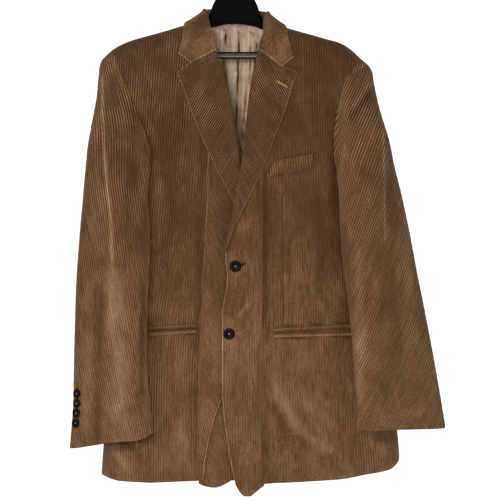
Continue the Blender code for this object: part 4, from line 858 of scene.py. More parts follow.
def corduroy(name, contrast, mottle, lift=0.0, fade=0.17):
    """Brown cotton corduroy: how strongly its wales show, how patchy its pile is, how much paler it is, and
    how much lighter it is painted towards the hem, as painted light.
    """
    material, tree, shader = new_material(name, Roughness=0.92, Sheen_Weight=0.22, Sheen_Roughness=0.45,
                                          Sheen_Tint=linear("#c9a682"), Specular_IOR_Level=0.15)
    grain = add_node(tree, "ShaderNodeUVMap", uv_map="grain").outputs["UV"]
    place = add_node(tree, "ShaderNodeTexCoord").outputs["Object"]

    # six soft noises, each stretched along the wales (grain) or down the jacket (place), in turns a metre
    field = {}
    for title, source, scale, look in (
            ("waver", grain, (420.0, 60.0, 1.0), {"Detail": 2.0}),
            ("streak", grain, (330.0, 40.0, 1.0), {"Detail": 3.0}),
            ("patch", place, (24.0, 24.0, 12.0), {"Detail": 6.0, "Roughness": 0.66, "Distortion": 0.4}),
            ("brush", place, (38.0, 38.0, 22.0), {"Detail": 3.0}),
            ("hue", place, (9.0, 9.0, 5.0), {"Detail": 3.0}),
            ("nap", place, (420.0, 420.0, 420.0), {"Detail": 2.0})):
        stretched = add_node(tree, "ShaderNodeMapping", {"Vector": source}, inputs={"Scale": scale})
        field[title] = add_node(tree, "ShaderNodeTexNoise", {"Vector": stretched.outputs[0]},
                                inputs={"Scale": 1.0, **look}).outputs["Fac"]

    # wales: a cosine of the grain's first coordinate, shaken a little, as no loom is quite even
    u = add_node(tree, "ShaderNodeSeparateXYZ", {"Vector": grain}).outputs["X"]
    turns = add_node(tree, "ShaderNodeMath", {0: u}, operation="MULTIPLY",
                     inputs={1: 2 * math.pi / (WALE_PITCH * MM)})
    shaken = add_node(tree, "ShaderNodeMath", {0: field["waver"], 2: turns.outputs[0]},
                      operation="MULTIPLY_ADD", inputs={1: 1.6})
    wave = add_node(tree, "ShaderNodeMath", {0: shaken.outputs[0]}, operation="COSINE").outputs[0]
    wale = add_node(tree, "ShaderNodeMapRange", {"Value": wave},
                    inputs={"From Min": -1.0, "From Max": 1.0}).outputs["Result"]

    # how clearly they show: brushed away in places, and crisper towards the shoulders
    show = add_node(tree, "ShaderNodeMapRange", {"Value": field["brush"]},
                    inputs={"From Min": 0.36, "From Max": 0.64, "To Min": 0.35, "To Max": 1.5})
    height = add_node(tree, "ShaderNodeSeparateXYZ", {"Vector": place}).outputs["Z"]
    crisp = add_node(tree, "ShaderNodeMapRange", {"Value": height}, interpolation_type="SMOOTHSTEP",
                     inputs={"From Min": CRISP_TOP, "From Max": CRISP_LOW, "To Min": 2.4, "To Max": 1.0})
    shown = add_node(tree, "ShaderNodeMath", {0: show.outputs["Result"], 1: crisp.outputs["Result"]},
                     operation="MULTIPLY").outputs[0]
    wave_shown = add_node(tree, "ShaderNodeMath", {0: wave, 1: shown}, operation="MULTIPLY").outputs[0]

    # marks from the mesh: creases and strokes, which carry painted highlights and painted shade, the distance
    # to the finished edges, and the row of stitches beside them
    crease = add_node(tree, "ShaderNodeAttribute", attribute_name="crease").outputs["Fac"]
    worn = add_node(tree, "ShaderNodeAttribute", attribute_name="worn").outputs["Fac"]
    # finished edges painted pale: the rubbed pile, and a painted highlight where the edge rolls
    edge = add_node(tree, "ShaderNodeMapRange", {"Value": worn},
                    inputs={"From Min": 0.8 / WORN_UNIT, "From Max": 2.0 / WORN_UNIT,
                            "To Min": 1.0, "To Max": 0.0}).outputs["Result"]
    # painted shade: a dark line in the groove that the row of stitches pulls in
    seam = add_node(tree, "ShaderNodeMath", {0: worn}, operation="COMPARE",
                    inputs={1: EDGE_STITCH / WORN_UNIT, 2: 0.7 / WORN_UNIT}).outputs[0]
    # painted light: the cloth is painted paler from CLOTH_TOP down to CLOTH_LOW
    painted_paler_below = add_node(tree, "ShaderNodeMapRange", {"Value": height}, interpolation_type="SMOOTHSTEP",
                   inputs={"From Min": CLOTH_TOP, "From Max": CLOTH_LOW}).outputs["Result"]

    # tone: TONE_MIDDLE is plain cloth, and each row moves it by gain times (source - middle)
    tone = None
    for source, gain, middle in ((wave_shown, contrast / 2, 0.0), (field["patch"], mottle, 0.5),
                                 (field["streak"], 0.35, 0.5), (field["nap"], 0.34, 0.5),
                                 (crease, 0.14, 0.0), (edge, 0.28, 0.0), (seam, -0.2, 0.0),
                                 (painted_paler_below, fade, 0.3)):
        part = add_node(tree, "ShaderNodeMath", {0: source}, operation="MULTIPLY_ADD",
                        inputs={1: gain, 2: -gain * middle}).outputs[0]
        tone = part if tone is None else add_node(tree, "ShaderNodeMath", {0: tone, 1: part},
                                                  operation="ADD").outputs[0]
    tone = add_node(tree, "ShaderNodeMath", {0: tone}, operation="ADD",
                    inputs={1: TONE_MIDDLE + lift}).outputs[0]
    colour = ramp(tree, tone, ((0.0, PILE_DARK), (0.45, PILE), (0.82, PILE_LIGHT), (1.0, PILE_RUBBED_AND_LIT)))
    dye = ramp(tree, field["hue"], ((0.38, PILE_RED), (0.62, PILE_OLIVE)))
    tinted = add_node(tree, "ShaderNodeMix", {6: colour, 7: dye}, data_type="RGBA", blend_type="COLOR",
                      inputs={0: 0.25})
    tree.links.new(tinted.outputs[2], shader.inputs["Base Color"])

    # relief too fine for the mesh: the wales again, with single fibres on them
    fibres = add_node(tree, "ShaderNodeTexNoise", {"Vector": place},
                      inputs={"Scale": 1400.0, "Detail": 2.0}).outputs["Fac"]
    pile = add_node(tree, "ShaderNodeMath", {0: fibres, 2: wale}, operation="MULTIPLY_ADD",
                    inputs={1: 0.35}).outputs[0]
    bump = add_node(tree, "ShaderNodeBump", {"Height": pile}, inputs={"Strength": 0.35, "Distance": 0.0006})
    tree.links.new(bump.outputs["Normal"], shader.inputs["Normal"])
    return material


BODY_CORD = corduroy("cotton_corduroy", contrast=0.16, mottle=0.5)
WORN_CORD = corduroy("cotton_corduroy_worn", contrast=0.09, mottle=0.5)
SLEEVE_CORD = corduroy("cotton_corduroy_sleeve", contrast=0.22, mottle=0.55, lift=0.04, fade=0.08)
LAPEL_CORD = corduroy("cotton_corduroy_crisp", contrast=0.22, mottle=0.45, lift=-0.04)
COLLAR_CORD = corduroy("cotton_corduroy_brushed", contrast=0.04, mottle=1.0, lift=0.19)

# %% [markdown]
# ## Creases, placed one by one
#
# A hanging jacket shows where it has been worn and pressed: a pressed line down each sleeve, soft
# hollows beside the armholes, and diagonal drags near the hem. Each row gives a line in x and z, a
# width and a height, in millimetres. The hidden back has similar ones.

# %% Crease tables: x0, z0, x1, z1, wide, high
SLEEVE_CREASES = {
    RIGHT: ((-229, -242, -226, -350, 3.0, 1.2), (-226, -350, -213, -490, 4.0, 1.3),
            (-227, -609, -237, -868, 7.0, -1.3), (-202, -574, -195, -851, 20.0, 1.8),
            (-154, -626, -163, -799, 8.0, -1.3), (-251, -626, -258, -851, 9.0, 1.0),
            (-185, -280, -150, -367, 12.0, -1.6), (-240, -330, -246, -560, 12.0, 0.8),
            (-190, -420, -186, -540, 10.0, -1.0), (-172, -450, -176, -640, 7.0, 0.8)),
    LEFT: ((236, -262, 197, -316, 6.0, -1.6), (244, -240, 208, -290, 6.0, 1.1),
           (255, -315, 257, -401, 2.5, 0.8), (257, -401, 259, -522, 3.0, 0.7),
           (265, -315, 270, -520, 5.0, -0.8), (242, -514, 260, -626, 14.0, -1.4),
           (260, -626, 238, -690, 12.0, -1.2), (216, -540, 213, -799, 14.0, 1.4),
           (277, -678, 251, -799, 16.0, -1.2), (300, -560, 318, -760, 16.0, 1.0),
           (205, -340, 214, -470, 9.0, 0.8))}
FRONT_CREASES = {
    RIGHT: ((-164, -315, -151, -393, 10.0, -1.5), (-112, -280, -116, -626, 18.0, -1.1),
            (-78, -315, -81, -626, 8.0, -0.6), (-133, -401, -137, -661, 10.0, 0.9),
            (-216, -877, -182, -920, 7.0, 1.2), (-200, -860, -150, -905, 9.0, -0.8),
            (-98, -700, -94, -920, 12.0, 0.8), (-60, -250, -90, -350, 12.0, 0.7)),
    LEFT: ((112, -436, 107, -661, 10.0, 0.9), (144, -419, 151, -661, 10.0, -0.9),
           (190, -367, 197, -678, 9.0, -1.1), (69, -773, 112, -851, 8.0, 1.4),
           (112, -851, 164, -886, 8.0, 1.1), (60, -800, 104, -872, 7.0, -1.0),
           (130, -782, 164, -808, 7.0, 0.9), (221, -860, 268, -894, 8.0, 1.0),
           (5, -654, 25, -631, 3.5, 0.8), (43, -661, 26, -799, 7.0, 1.1),
           (26, -799, 14, -834, 7.0, 0.9), (81, -446, 84, -670, 1.3, -0.6),
           (168, -290, 176, -360, 10.0, -1.2))}
BACK_CREASES = {
    RIGHT: ((-60, -300, -52, -760, 16.0, 1.6), (-105, -330, -112, -800, 18.0, -1.8),
            (-150, -420, -140, -640, 12.0, 1.2), (-24, -420, -22, -880, 9.0, -0.9),
            (-160, -330, -110, -420, 12.0, 1.3)),
    LEFT: ((55, -310, 62, -820, 16.0, 1.6), (112, -340, 128, -860, 18.0, -1.7),
           (165, -430, 170, -700, 12.0, 1.3), (26, -380, 24, -850, 9.0, -0.9),
           (168, -330, 116, -430, 12.0, 1.2))}

# %% Pale and dark strokes, painted highlights and painted shade with some wear: x0, z0, x1, z1, wide, how much
STROKES = {
    # right sleeve: a pale line down the pressed crease, as wear and highlight, a painted broad highlight, and
    # painted shade in the hollows
    "top_sleeve_right": ((-229, -235, -226, -350, 1.8, 2.0), (-226, -350, -221, -419, 1.8, 2.3),
                         (-221, -419, -213, -488, 2.4, 2.0), (-213, -488, -211, -560, 3.6, 1.7),
                         (-211, -560, -212, -690, 9.0, 0.9), (-212, -240, -206, -393, 8.0, -0.4),
                         (-180, -290, -165, -560, 14.0, -0.7), (-232, -600, -238, -868, 6.0, -0.4),
                         (-200, -574, -196, -851, 14.0, 0.4), (-158, -600, -160, -790, 5.0, -0.8),
                         (-196, -208, -168, -272, 5.0, 0.8), (-215, -208, -190, -250, 14.0, 0.6)),
    # left sleeve: painted highlights and painted shade on its folds and hollows
    "top_sleeve_left": ((255, -300, 256, -401, 1.4, 1.1), (256, -401, 258, -522, 1.4, 1.0),
                        (234, -262, 197, -316, 6.0, -1.1), (240, -245, 205, -292, 7.0, 0.7),
                        (216, -540, 213, -799, 12.0, 0.3), (186, -330, 196, -520, 14.0, 0.4),
                        (222, -560, 232, -720, 12.0, -0.4), (276, -640, 262, -790, 14.0, -0.4),
                        (224, -218, 206, -232, 3.0, 1.2)),
    # right front: painted shade beside the armhole and the fold, a painted highlight along the fold's edge,
    # painted light and shade on the drags at the hem, painted shade along the pocket's lips
    "front_right": ((-164, -315, -151, -393, 9.0, -0.5), (-155, -250, -135, -330, 12.0, -0.5),
                    (-44, -330, -47, -450, 1.5, 1.6), (-47, -450, -55, -600, 1.5, 1.7),
                    (-55, -600, -62, -800, 1.6, 1.5), (-62, -800, -64, -930, 1.6, 1.1),
                    (-56, -340, -64, -560, 8.0, -0.6), (-64, -560, -72, -800, 8.0, -0.4),
                    (-90, -420, -100, -640, 16.0, -0.4), (-213, -872, -184, -922, 7.0, 0.7),
                    (-196, -858, -158, -908, 8.0, -0.4), (-90, -868, -84, -876, 8.0, 0.6),
                    (-150, -670, -66, -665, 1.1, -1.5), (-150, -690, -66, -684, 1.1, -1.2),
                    # painted cast shadow of the right cuff on the front
                    (-228, -875.5, -190, -872.5, 1.6, -2.8), (-190, -872.5, -164, -870, 1.6, -2.8),
                    (-164, -870, -150, -864.5, 1.6, -2.8), (-150, -864.5, -139, -856.5, 1.6, -2.2)),
    # left front: pale worn rings round the buttons, then painted highlights and painted shade on the drags,
    # the fold, the dart, the hollows and along the pocket's lips
    "front_left": ((1, -560, 1, -576, 13.0, 1.2), (-10, -676, -10, -692, 13.0, 1.2),
                   (69, -773, 112, -851, 9.0, 0.6), (112, -851, 164, -886, 8.0, 0.5),
                   (60, -800, 100, -876, 6.0, -0.4), (120, -800, 175, -850, 10.0, 0.4),
                   (45, -400, 46, -560, 1.5, 1.2), (46, -560, 44, -700, 1.5, 1.2),
                   (44, -700, 42, -900, 1.5, 0.8), (52, -400, 53, -700, 3.5, -0.6),
                   (81, -446, 84, -670, 1.1, -1.1), (84, -446, 87, -670, 1.2, 0.6),
                   (16, -500, 30, -490, 11.0, 1.0), (30, -560, 30, -640, 12.0, 0.3),
                   (70, -250, 120, -350, 26.0, -0.6), (112, -440, 114, -540, 14.0, -0.7),
                   (170, -300, 176, -470, 12.0, -0.7), (66, -672, 202, -665, 1.1, -1.5),
                   (66, -692, 202, -689, 1.1, -1.2), (60, -673, 60, -691, 1.2, -1.1),
                   (5, -654, 25, -631, 3.5, 0.8), (10, -740, 30, -700, 5.0, 0.4))}

# %% [markdown]
# ## Cutting the shell
#
# The cells are about 1 mm across the wales and 4 mm along them, because a wale needs four points
# across and hardly any along.

# %% Fronts, backs, sides and sleeves
ACROSS, DOWN = 1.06, 4.2        # size of a cell in mm
# how the wales lean, by height: heights in mm, and the lean there in degrees
LEAN = {"front": {RIGHT: ((-950, -760, -700, -640, -500, -150), (0, 1, 4, 8, 5, 4)),
                  LEFT: ((-950, -150), (1, 1))},
        "sleeve": {RIGHT: ((-885, -340, -300, -250, -190), (9, 9, 14, 22, 28)),
                   LEFT: ((-885, -700, -560, -340, -275, -190), (30, 27, 26, 26, 33, 40))}}
LEAN_STEP = 5.0                 # step of the sum that turns a lean into a shift, mm
PLUMB_COLUMN = 0.22             # a front's column where the wales hang straight, as a share of its width
WALE_TURN, ARC_STEPS = 98.0, 49 # turn from which a sleeve's arc is measured, and the points along it
DEPTH_SHARE = 0.5               # how much depth counts in that arc
EDGE_FROM, EDGE_BLEND = 0.6, 0.35       # where a sleeve's edge starts and its blend, in half widths


def lean_shift(lean, z):
    """How far leaning wales have moved sideways at a height: the sum of sin(lean) from the hem up."""
    heights = np.arange(lean[0][0], lean[0][-1], LEAN_STEP)
    return np.interp(z, heights, np.cumsum(np.sin(np.radians(np.interp(heights, *lean)))) * LEAN_STEP)


def front_wales(side, grid):
    """Upright wales: the distance out at a column near the side, then the arc on both sides of it.

    Inside its fold the right front hangs askew, so from the fold's hidden part on the coordinate is
    that of lines which lean by BAND_LEAN.
    """
    arc = row_arc(grid)
    reference = int(PLUMB_COLUMN * grid.shape[1])
    u = np.abs(grid[:, reference, 0])[:, None] + arc[:, reference, None] - arc
    u += lean_shift(LEAN["front"][side], grid[..., 2])
    if side == RIGHT:
        lean = math.radians(BAND_LEAN)
        band = -(grid[..., 0] * math.cos(lean) + grid[..., 2] * math.sin(lean)) * BODY_PITCH / WALE_PITCH
        u = np.where(np.linspace(0, 1, grid.shape[1]) > FOLD_PLACE[side], band, u)
    return u


def sleeve_wales(side, turns, grid):
    """Arc round the sleeve at each point's own height, and the lean of its wales.

    A point's turn is read back from its place: along and forward are its distances from the sleeve's
    middle in the sleeve's turned axes. Near the two edges turn = atan2(|forward/half|^(p/2),
    |along/length|^(p/2)) with their signs. On the broad front and back, where the sleeve's head lies
    inside its tube, it is acos(|along/length|^(p/2)). The arc runs from WALE_TURN along a level
    section, in which depth counts for only half, so that the wales stay wide enough to see where the
    sleeve turns away. They lean by LEAN from the sleeve's own line, as it is set askew at the armhole.
    """
    table, z = SLEEVE[side], grid[..., 2]
    outer, inner, half, yaw, y = (smooth(z, table["z"], table[column])
                                  for column in ("outer", "inner", "half", "yaw", "y"))
    yaw = np.radians(yaw)
    out, back = side * grid[..., 0] - (outer + inner) / 2, grid[..., 1] - y
    along = (out * np.cos(yaw) + back * np.sin(yaw)) / ((outer - inner) / 2)
    forward = (out * np.sin(yaw) - back * np.cos(yaw)) / half
    edge_turn = np.degrees(np.arctan2(*(np.sign(value) * np.abs(value) ** (SLEEVE_POWER / 2)
                                        for value in (forward, along))))
    level = np.sign(along) * np.minimum(np.abs(along), 1.0) ** (SLEEVE_POWER / 2)
    broad_turn = np.degrees(np.arccos(level)) * np.where(forward < 0, -1, 1)
    turn = broad_turn + (edge_turn - broad_turn) * ease((np.abs(along) - EDGE_FROM) / EDGE_BLEND)
    turn += 360 * np.round((np.array(turns, float) - turn) / 360)
    share = np.linspace(0, 1, ARC_STEPS)
    section = tube(side, WALE_TURN + (turn - WALE_TURN)[..., None] * share,
                   np.repeat(z[..., None], len(share), axis=-1))
    steps = np.diff(section, axis=-2) * (1.0, DEPTH_SHARE, 1.0)
    arc = np.linalg.norm(steps, axis=-1).sum(axis=-1) * np.sign(turn - WALE_TURN)
    lean = LEAN["sleeve"][side]
    return arc * math.cos(math.radians(lean[1][1])) + lean_shift(lean, z)


coarse, FOLD_PLACE = {}, {}
for side, tag in SIDES:
    coarse["front_" + tag] = front_grid(side)
    coarse["back_" + tag] = back_grid(side)
    chords = np.cumsum(np.linalg.norm(np.diff(coarse["front_" + tag], axis=1), axis=-1).mean(axis=0))
    FOLD_PLACE[side] = chords[FOLD_STEPS[0] + FOLD_STEPS[1] - 1] / chords[-1]

for side, tag in SIDES:
    front = refine(coarse["front_" + tag], DOWN, ACROSS)
    cloth_piece("front_" + tag, front, side, front_wales(side, front), FRONT_CREASES[side],
                BODY_CORD if side == RIGHT else WORN_CORD, free=("last",), strokes=STROKES["front_" + tag])
    back = refine(coarse["back_" + tag], DOWN, ACROSS)
    cloth_piece("back_" + tag, back, side, np.abs(back[:, :1, 0]) + row_arc(back), BACK_CREASES[side],
                BODY_CORD)
    panel = refine(side_grid(side), DOWN, ACROSS)
    cloth_piece("side_" + tag, panel, -side, row_arc(panel), FRONT_CREASES[side], BODY_CORD,
                strokes=STROKES["front_" + tag])
    for piece, turns in (("top_sleeve_", TOP_SLEEVE_TURN), ("under_sleeve_", UNDER_SLEEVE_TURN)):
        cage = sleeve_grid(side, turns)
        rough = np.dstack([cage, np.broadcast_to(turns, cage.shape[:2])])
        sleeve = refine(rough, DOWN, ACROSS)
        wales = sleeve_wales(side, sleeve[..., 3], sleeve[..., :3])
        cloth_piece(piece + tag, sleeve[..., :3], side, wales, SLEEVE_CREASES[side], SLEEVE_CORD,
                    strokes=STROKES.get(piece + tag, ()), pitch=SLEEVE_PITCH)

# %% Lapels and collar
LAPEL_CELL, COLLAR_CELL = (1.6, 1.1), (1.6, 1.6)
faces = {side: {part: face_of(coarse[f"{part}_{tag}"], side) for part in ("front", "back")}
         for side, tag in SIDES}
lapel_cages = {}
for side, tag in SIDES:
    lapel_cages[side] = lapel_grid(side, faces[side]["front"])
    lapel = refine(lapel_cages[side], *LAPEL_CELL)
    lean = math.radians(LAPEL_LEAN)
    wales = lapel[..., 0] * math.cos(lean) + side * lapel[..., 2] * math.sin(lean)
    cloth_piece("lapel_" + tag, lapel, -side, wales, (), LAPEL_CORD, free=("top", "last"),
                pitch=WALE_PITCH)
collar = refine(collar_grid(faces), *COLLAR_CELL)
cloth_piece("collar", collar, -1, row_arc(np.swapaxes(collar, 0, 1), flat=False).T, (), COLLAR_CORD,
            free=("top", "hem"), pitch=WALE_PITCH)

# %% [markdown]
# ## Pocket welts
#
# The breast pocket has one broad welt. A hip pocket has two narrow lips, rolled like piping, whose
# wales run slanting across them and so look like rope.

# %% Welts
WELT, WELT_SEAT = 1.5, 0.55
BREAST_WELT = {"top": ((66, -387), (134, -374)), "bottom": ((55, -414), (132, -400))}
HIP_WELT = {(RIGHT, "upper"): (((-150, -673), (-66, -668)), ((-150, -679), (-66, -674))),
            (RIGHT, "lower"): (((-149, -681), (-66, -676)), ((-149, -688), (-66, -682))),
            (LEFT, "upper"): (((66, -676), (202, -669)), ((66, -682), (202, -675))),
            (LEFT, "lower"): (((66, -684), (202, -681)), ((66, -690), (202, -687)))}
WELT_CELL, LIP_CELL = (1.1, 2.2), (1.0, 0.9)
WELT_SKEW, ROPE_LEAN = 0.12, 35.0       # slope of the breast welt's wales, and lean of the lips', degrees
LIP_HIGHLIGHT, LIP_SHADE, LIP_WIDE, LIP_INSET = 1.5, -1.6, 1.1, 0.8   # strokes along a lip's two edges: a painted highlight on its outer edge, painted shade where the two lips meet, their width and inset


def strip(face, top, bottom, across, down):
    """Rows from a strip's top line to its bottom one, lying on a front."""
    top, bottom = np.array(top, float), np.array(bottom, float)
    columns = int(np.linalg.norm(top[1] - top[0]) / across) + 1
    rows = int(np.linalg.norm(bottom[0] - top[0]) / down) + 1
    share, drop = np.meshgrid(np.linspace(0, 1, columns), np.linspace(0, 1, rows))
    x, z = (top[0, k] * (1 - share) * (1 - drop) + top[1, k] * share * (1 - drop)
            + bottom[0, k] * (1 - share) * drop + bottom[1, k] * share * drop for k in (0, 1))
    return on_front(face, x, z, WELT + WELT_SEAT)


welt = strip(faces[LEFT]["front"], BREAST_WELT["top"], BREAST_WELT["bottom"], *WELT_CELL)
cloth_piece("breast_welt", welt, 1, welt[..., 0] + WELT_SKEW * welt[..., 2], (), BODY_CORD,
            thick=WELT,
            strokes=((62, -401, 86, -397, 7.0, 0.8), (108, -392, 130, -388, 7.0, 0.7),
                     (66, -388, 134, -375, 1.0, 0.9), (133, -376, 131, -400, 1.0, 0.9)))
lean = math.radians(ROPE_LEAN)
for (side, place), (top, bottom) in HIP_WELT.items():
    tag = dict(SIDES)[side]
    lip = strip(faces[side]["front"], top, bottom, *LIP_CELL)
    # painted shade where the lips meet, painted highlight on their outer edges
    tones = (LIP_HIGHLIGHT, LIP_SHADE) if place == "upper" else (LIP_SHADE, LIP_HIGHLIGHT)
    strokes = [(start[0], start[1] + inset, end[0], end[1] + inset, LIP_WIDE, tone)
               for (start, end), inset, tone in zip((top, bottom), (-LIP_INSET, LIP_INSET), tones)]
    wales = lip[..., 0] * math.cos(lean) - lip[..., 2] * math.sin(lean)
    cloth_piece(f"hip_welt_{place}_{tag}", lip, 1, wales, (), BODY_CORD,
                thick=WELT, strokes=strokes)

# %% [markdown]
# ## Lining
#
# Where the neck is open, the beige satin across the backs shows. It hangs from the neck in upright ripples,
# with a few sharper pleats. Satin shines along its folds, because its long threads lie flat and side by side.
# That shine is also painted into its colour, pale on the folds' ridges, and the troughs are painted dark as
# shade.

# %% Satin and the lining
def satin():
    """Beige satin: its colour painted pale on the ridges of its folds and dark in their troughs, as painted
    highlight and shade, with soft streaks down it, and a shine that is stretched across them.
    """
    material, tree, shader = new_material("acetate_satin", Roughness=0.42, Anisotropic=0.6,
                                          Specular_IOR_Level=0.22, Specular_Tint=linear("#f0cfa8"))
    place = add_node(tree, "ShaderNodeTexCoord").outputs["Object"]
    streaks = add_node(tree, "ShaderNodeMapping", {"Vector": place}, inputs={"Scale": (85.0, 85.0, 24.0)})
    streak = add_node(tree, "ShaderNodeTexNoise", {"Vector": streaks.outputs[0]},
                      inputs={"Scale": 1.0, "Detail": 4.0, "Distortion": 1.6}).outputs["Fac"]
    fold = add_node(tree, "ShaderNodeAttribute", attribute_name="crease").outputs["Fac"]
    # painted light and shade: pale on fold ridges and dark in the troughs, from near-black brown to near
    # white
    tone = add_node(tree, "ShaderNodeMath", {0: fold, 2: streak}, operation="MULTIPLY_ADD",
                    inputs={1: 0.42}).outputs[0]
    tree.links.new(ramp(tree, tone, ((0.08, "#3d2b1f"), (0.33, "#c9a68a"), (0.75, "#fde6cc"))),
                   shader.inputs["Base Color"])
    threads = add_node(tree, "ShaderNodeMapping", {"Vector": place}, inputs={"Scale": (900.0, 900.0, 60.0)})
    weave = add_node(tree, "ShaderNodeTexNoise", {"Vector": threads.outputs[0]}, inputs={"Scale": 1.0})
    wrinkle = add_node(tree, "ShaderNodeMath", {0: weave.outputs["Fac"], 2: streak}, operation="MULTIPLY_ADD",
                       inputs={1: 0.08}).outputs[0]
    bump = add_node(tree, "ShaderNodeBump", {"Height": wrinkle}, inputs={"Strength": 0.7, "Distance": 0.004})
    tree.links.new(bump.outputs["Normal"], shader.inputs["Normal"])
    return material


LINING, LINING_GAP = 1.0, 2.5
LINING_HALF, LINING_END, LINING_COLUMNS = (118.0, 150.0), -905.0, 17
LINING_TOP = {"out": (0, 20, 33, 43, 54, 75, 118), "drop": (23, 17, 10, 9, 17, 34, 34)}
LINING_LIFT = 5.0               # how much higher its top edge is sewn than the model shows, at the centre
LINING_ROWS = (0.0, 0.02, 0.05, 0.1, 0.2, 0.35, 0.5, 0.75, 1.0)
LINING_FOLDS = ((-27, -150, -28, -200, 1.0, -1.9), (-16, -152, -17, -182, 1.0, -1.5),
                (8, -160, 1, -330, 1.1, -2.2), (28, -152, 25, -250, 1.1, -2.0),
                (40, -160, 33, -260, 1.4, -1.4), (-8, -200, -12, -320, 3.0, 1.2),
                (16, -170, 14, -330, 2.5, 1.2), (-30, -210, -14, -300, 3.0, 1.0),
                (-22, -190, -6, -330, 3.0, -0.9), (0, -150, -2, -190, 2.5, 1.0),
                (20, -260, 8, -380, 2.0, -1.0), (32, -170, 30, -230, 1.6, 1.2),
                (-22, -155, -23, -190, 1.6, 1.0), (5, -230, -10, -260, 2.5, 1.2))
LINING_CELL = (5.0, 0.9)
RIPPLE_TOP, RIPPLE_END = 25.0, 8.0      # how far down the ripples set in, and how near the edges they end
SATIN_FULL = 1.5                        # height of a fold whose ridge is painted quite pale as a highlight, mm


def lining_grid():
    """The lining across both backs: rows from the neck and shoulders down, columns from side to side."""
    share = np.linspace(-1, 1, LINING_COLUMNS)
    out = np.abs(share) * LINING_HALF[0]
    ridges = np.where(share < 0, ridge(RIGHT, out), ridge(LEFT, out))
    tops = ridges - smooth(out, LINING_TOP["out"], LINING_TOP["drop"])
    grid = []
    for down in LINING_ROWS:
        z = tops + (LINING_END - tops) * down + LINING_LIFT * (1 - down) * (1 - ease(out / LINING_HALF[0]))
        half = LINING_HALF[0] + (LINING_HALF[1] - LINING_HALF[0]) * down
        grid.append(on_body(share * half, z, "back"))
    return np.array(grid)


back = refine(lining_grid(), *LINING_CELL)
towards = grid_normals(back, -1)
seen = back + (CLOTH + LINING_GAP + LINING) * towards
drop = row_arc(np.swapaxes(back, 0, 1), flat=False).T
# ripples: one cosine across the satin that wanders as it falls, and a finer one that leans
ripple = (0.45 * np.cos(back[..., 0] / 4.3 + 1.2 * np.sin(drop / 60))
          + 0.3 * np.cos(back[..., 0] / 2.1 + drop / 90))
fold = crease_relief(back, LINING_FOLDS) + ripple * ease(drop / RIPPLE_TOP)
fold *= ease(np.minimum(drop, drop[-1:] - drop) / RIPPLE_END)
lining = wall_piece("back_lining_satin", "back_lining", seen + fold[..., None] * towards, seen, LINING,
                    towards, back[..., 0], drop, {"crease": fold / SATIN_FULL}, -1, satin())
say_sheet(lining, back)

# %% [markdown]
# ## Buttons
#
# The buttons are imitation horn, turned with a raised rim, with four holes and a cross of thread. A
# button is one round height field: the rim's profile, less a pit at each hole.

# %% Horn buttons
def horn():
    """Polished imitation horn: nearly black brown with paler streaks, under a clear gloss."""
    material, tree, shader = new_material("imitation_horn", Roughness=0.3, Specular_IOR_Level=0.06,
                                          Coat_Weight=0.02, Coat_Roughness=0.12)
    place = add_node(tree, "ShaderNodeTexCoord").outputs["Object"]
    cloud = add_node(tree, "ShaderNodeTexNoise", {"Vector": place},
                     inputs={"Scale": 110.0, "Detail": 4.0, "Distortion": 1.5}).outputs["Fac"]
    tree.links.new(ramp(tree, cloud, ((0.4, "#070504"), (0.62, "#120d0b"), (0.8, "#2a1f18"))),
                   shader.inputs["Base Color"])
    return material


def thread(name, code):
    """Twisted thread of one colour, lit on its turns."""
    material, tree, shader = new_material(name, Roughness=0.7, Specular_IOR_Level=0.2)
    place = add_node(tree, "ShaderNodeTexCoord").outputs["Object"]
    twist = add_node(tree, "ShaderNodeTexNoise", {"Vector": place}, inputs={"Scale": 900.0}).outputs["Fac"]
    value = add_node(tree, "ShaderNodeMapRange", {"Value": twist}, inputs={"To Min": 0.7, "To Max": 1.25})
    shade = add_node(tree, "ShaderNodeHueSaturation", {"Value": value.outputs["Result"]},
                     inputs={"Color": linear(code)})
    tree.links.new(shade.outputs["Color"], shader.inputs["Base Color"])
    return material


HORN, GREY_THREAD = horn(), thread("grey_thread", "#67615a")
TAN_THREAD, DARK_THREAD = thread("tan_thread", "#93714d"), thread("dark_thread", "#1d120a")
BROWN_THREAD = thread("brown_thread", "#7a5d42")
FRONT_BUTTON, SLEEVE_BUTTON = {"radius": 10.0, "thick": 3.6}, {"radius": 8.0, "thick": 3.0}
SLEEVE_BUTTON_Z = {RIGHT: (-787, -804, -821, -838), LEFT: (-757, -774, -791, -808)}
SLEEVE_BUTTON_TURN = {RIGHT: 35.0, LEFT: -34.0}
HOLE_RADIUS, HOLE_SPREAD = 0.12, 0.25         # as shares of the button's radius
RIM = {"at": (0.0, 0.55, 0.66, 0.78, 0.9, 0.97, 1.0), "high": (0.7, 0.72, 0.86, 1.0, 0.98, 0.84, 0.6)}
PIT_DEEP, MIDDLE_RINGS = 0.55, 18             # depth of a hole as a share of thickness; rings round the holes
THREAD_RADIUS, THREAD_APART = 0.45, 0.35      # mm; each arm of the cross is two threads side by side


def frame_of(normal):
    """Two directions across a normal, with the first one level."""
    normal = np.array(normal, float) / np.linalg.norm(normal)
    level = np.cross((0.0, 0.0, 1.0), normal)
    level /= np.linalg.norm(level)
    return level, np.cross(normal, level), normal


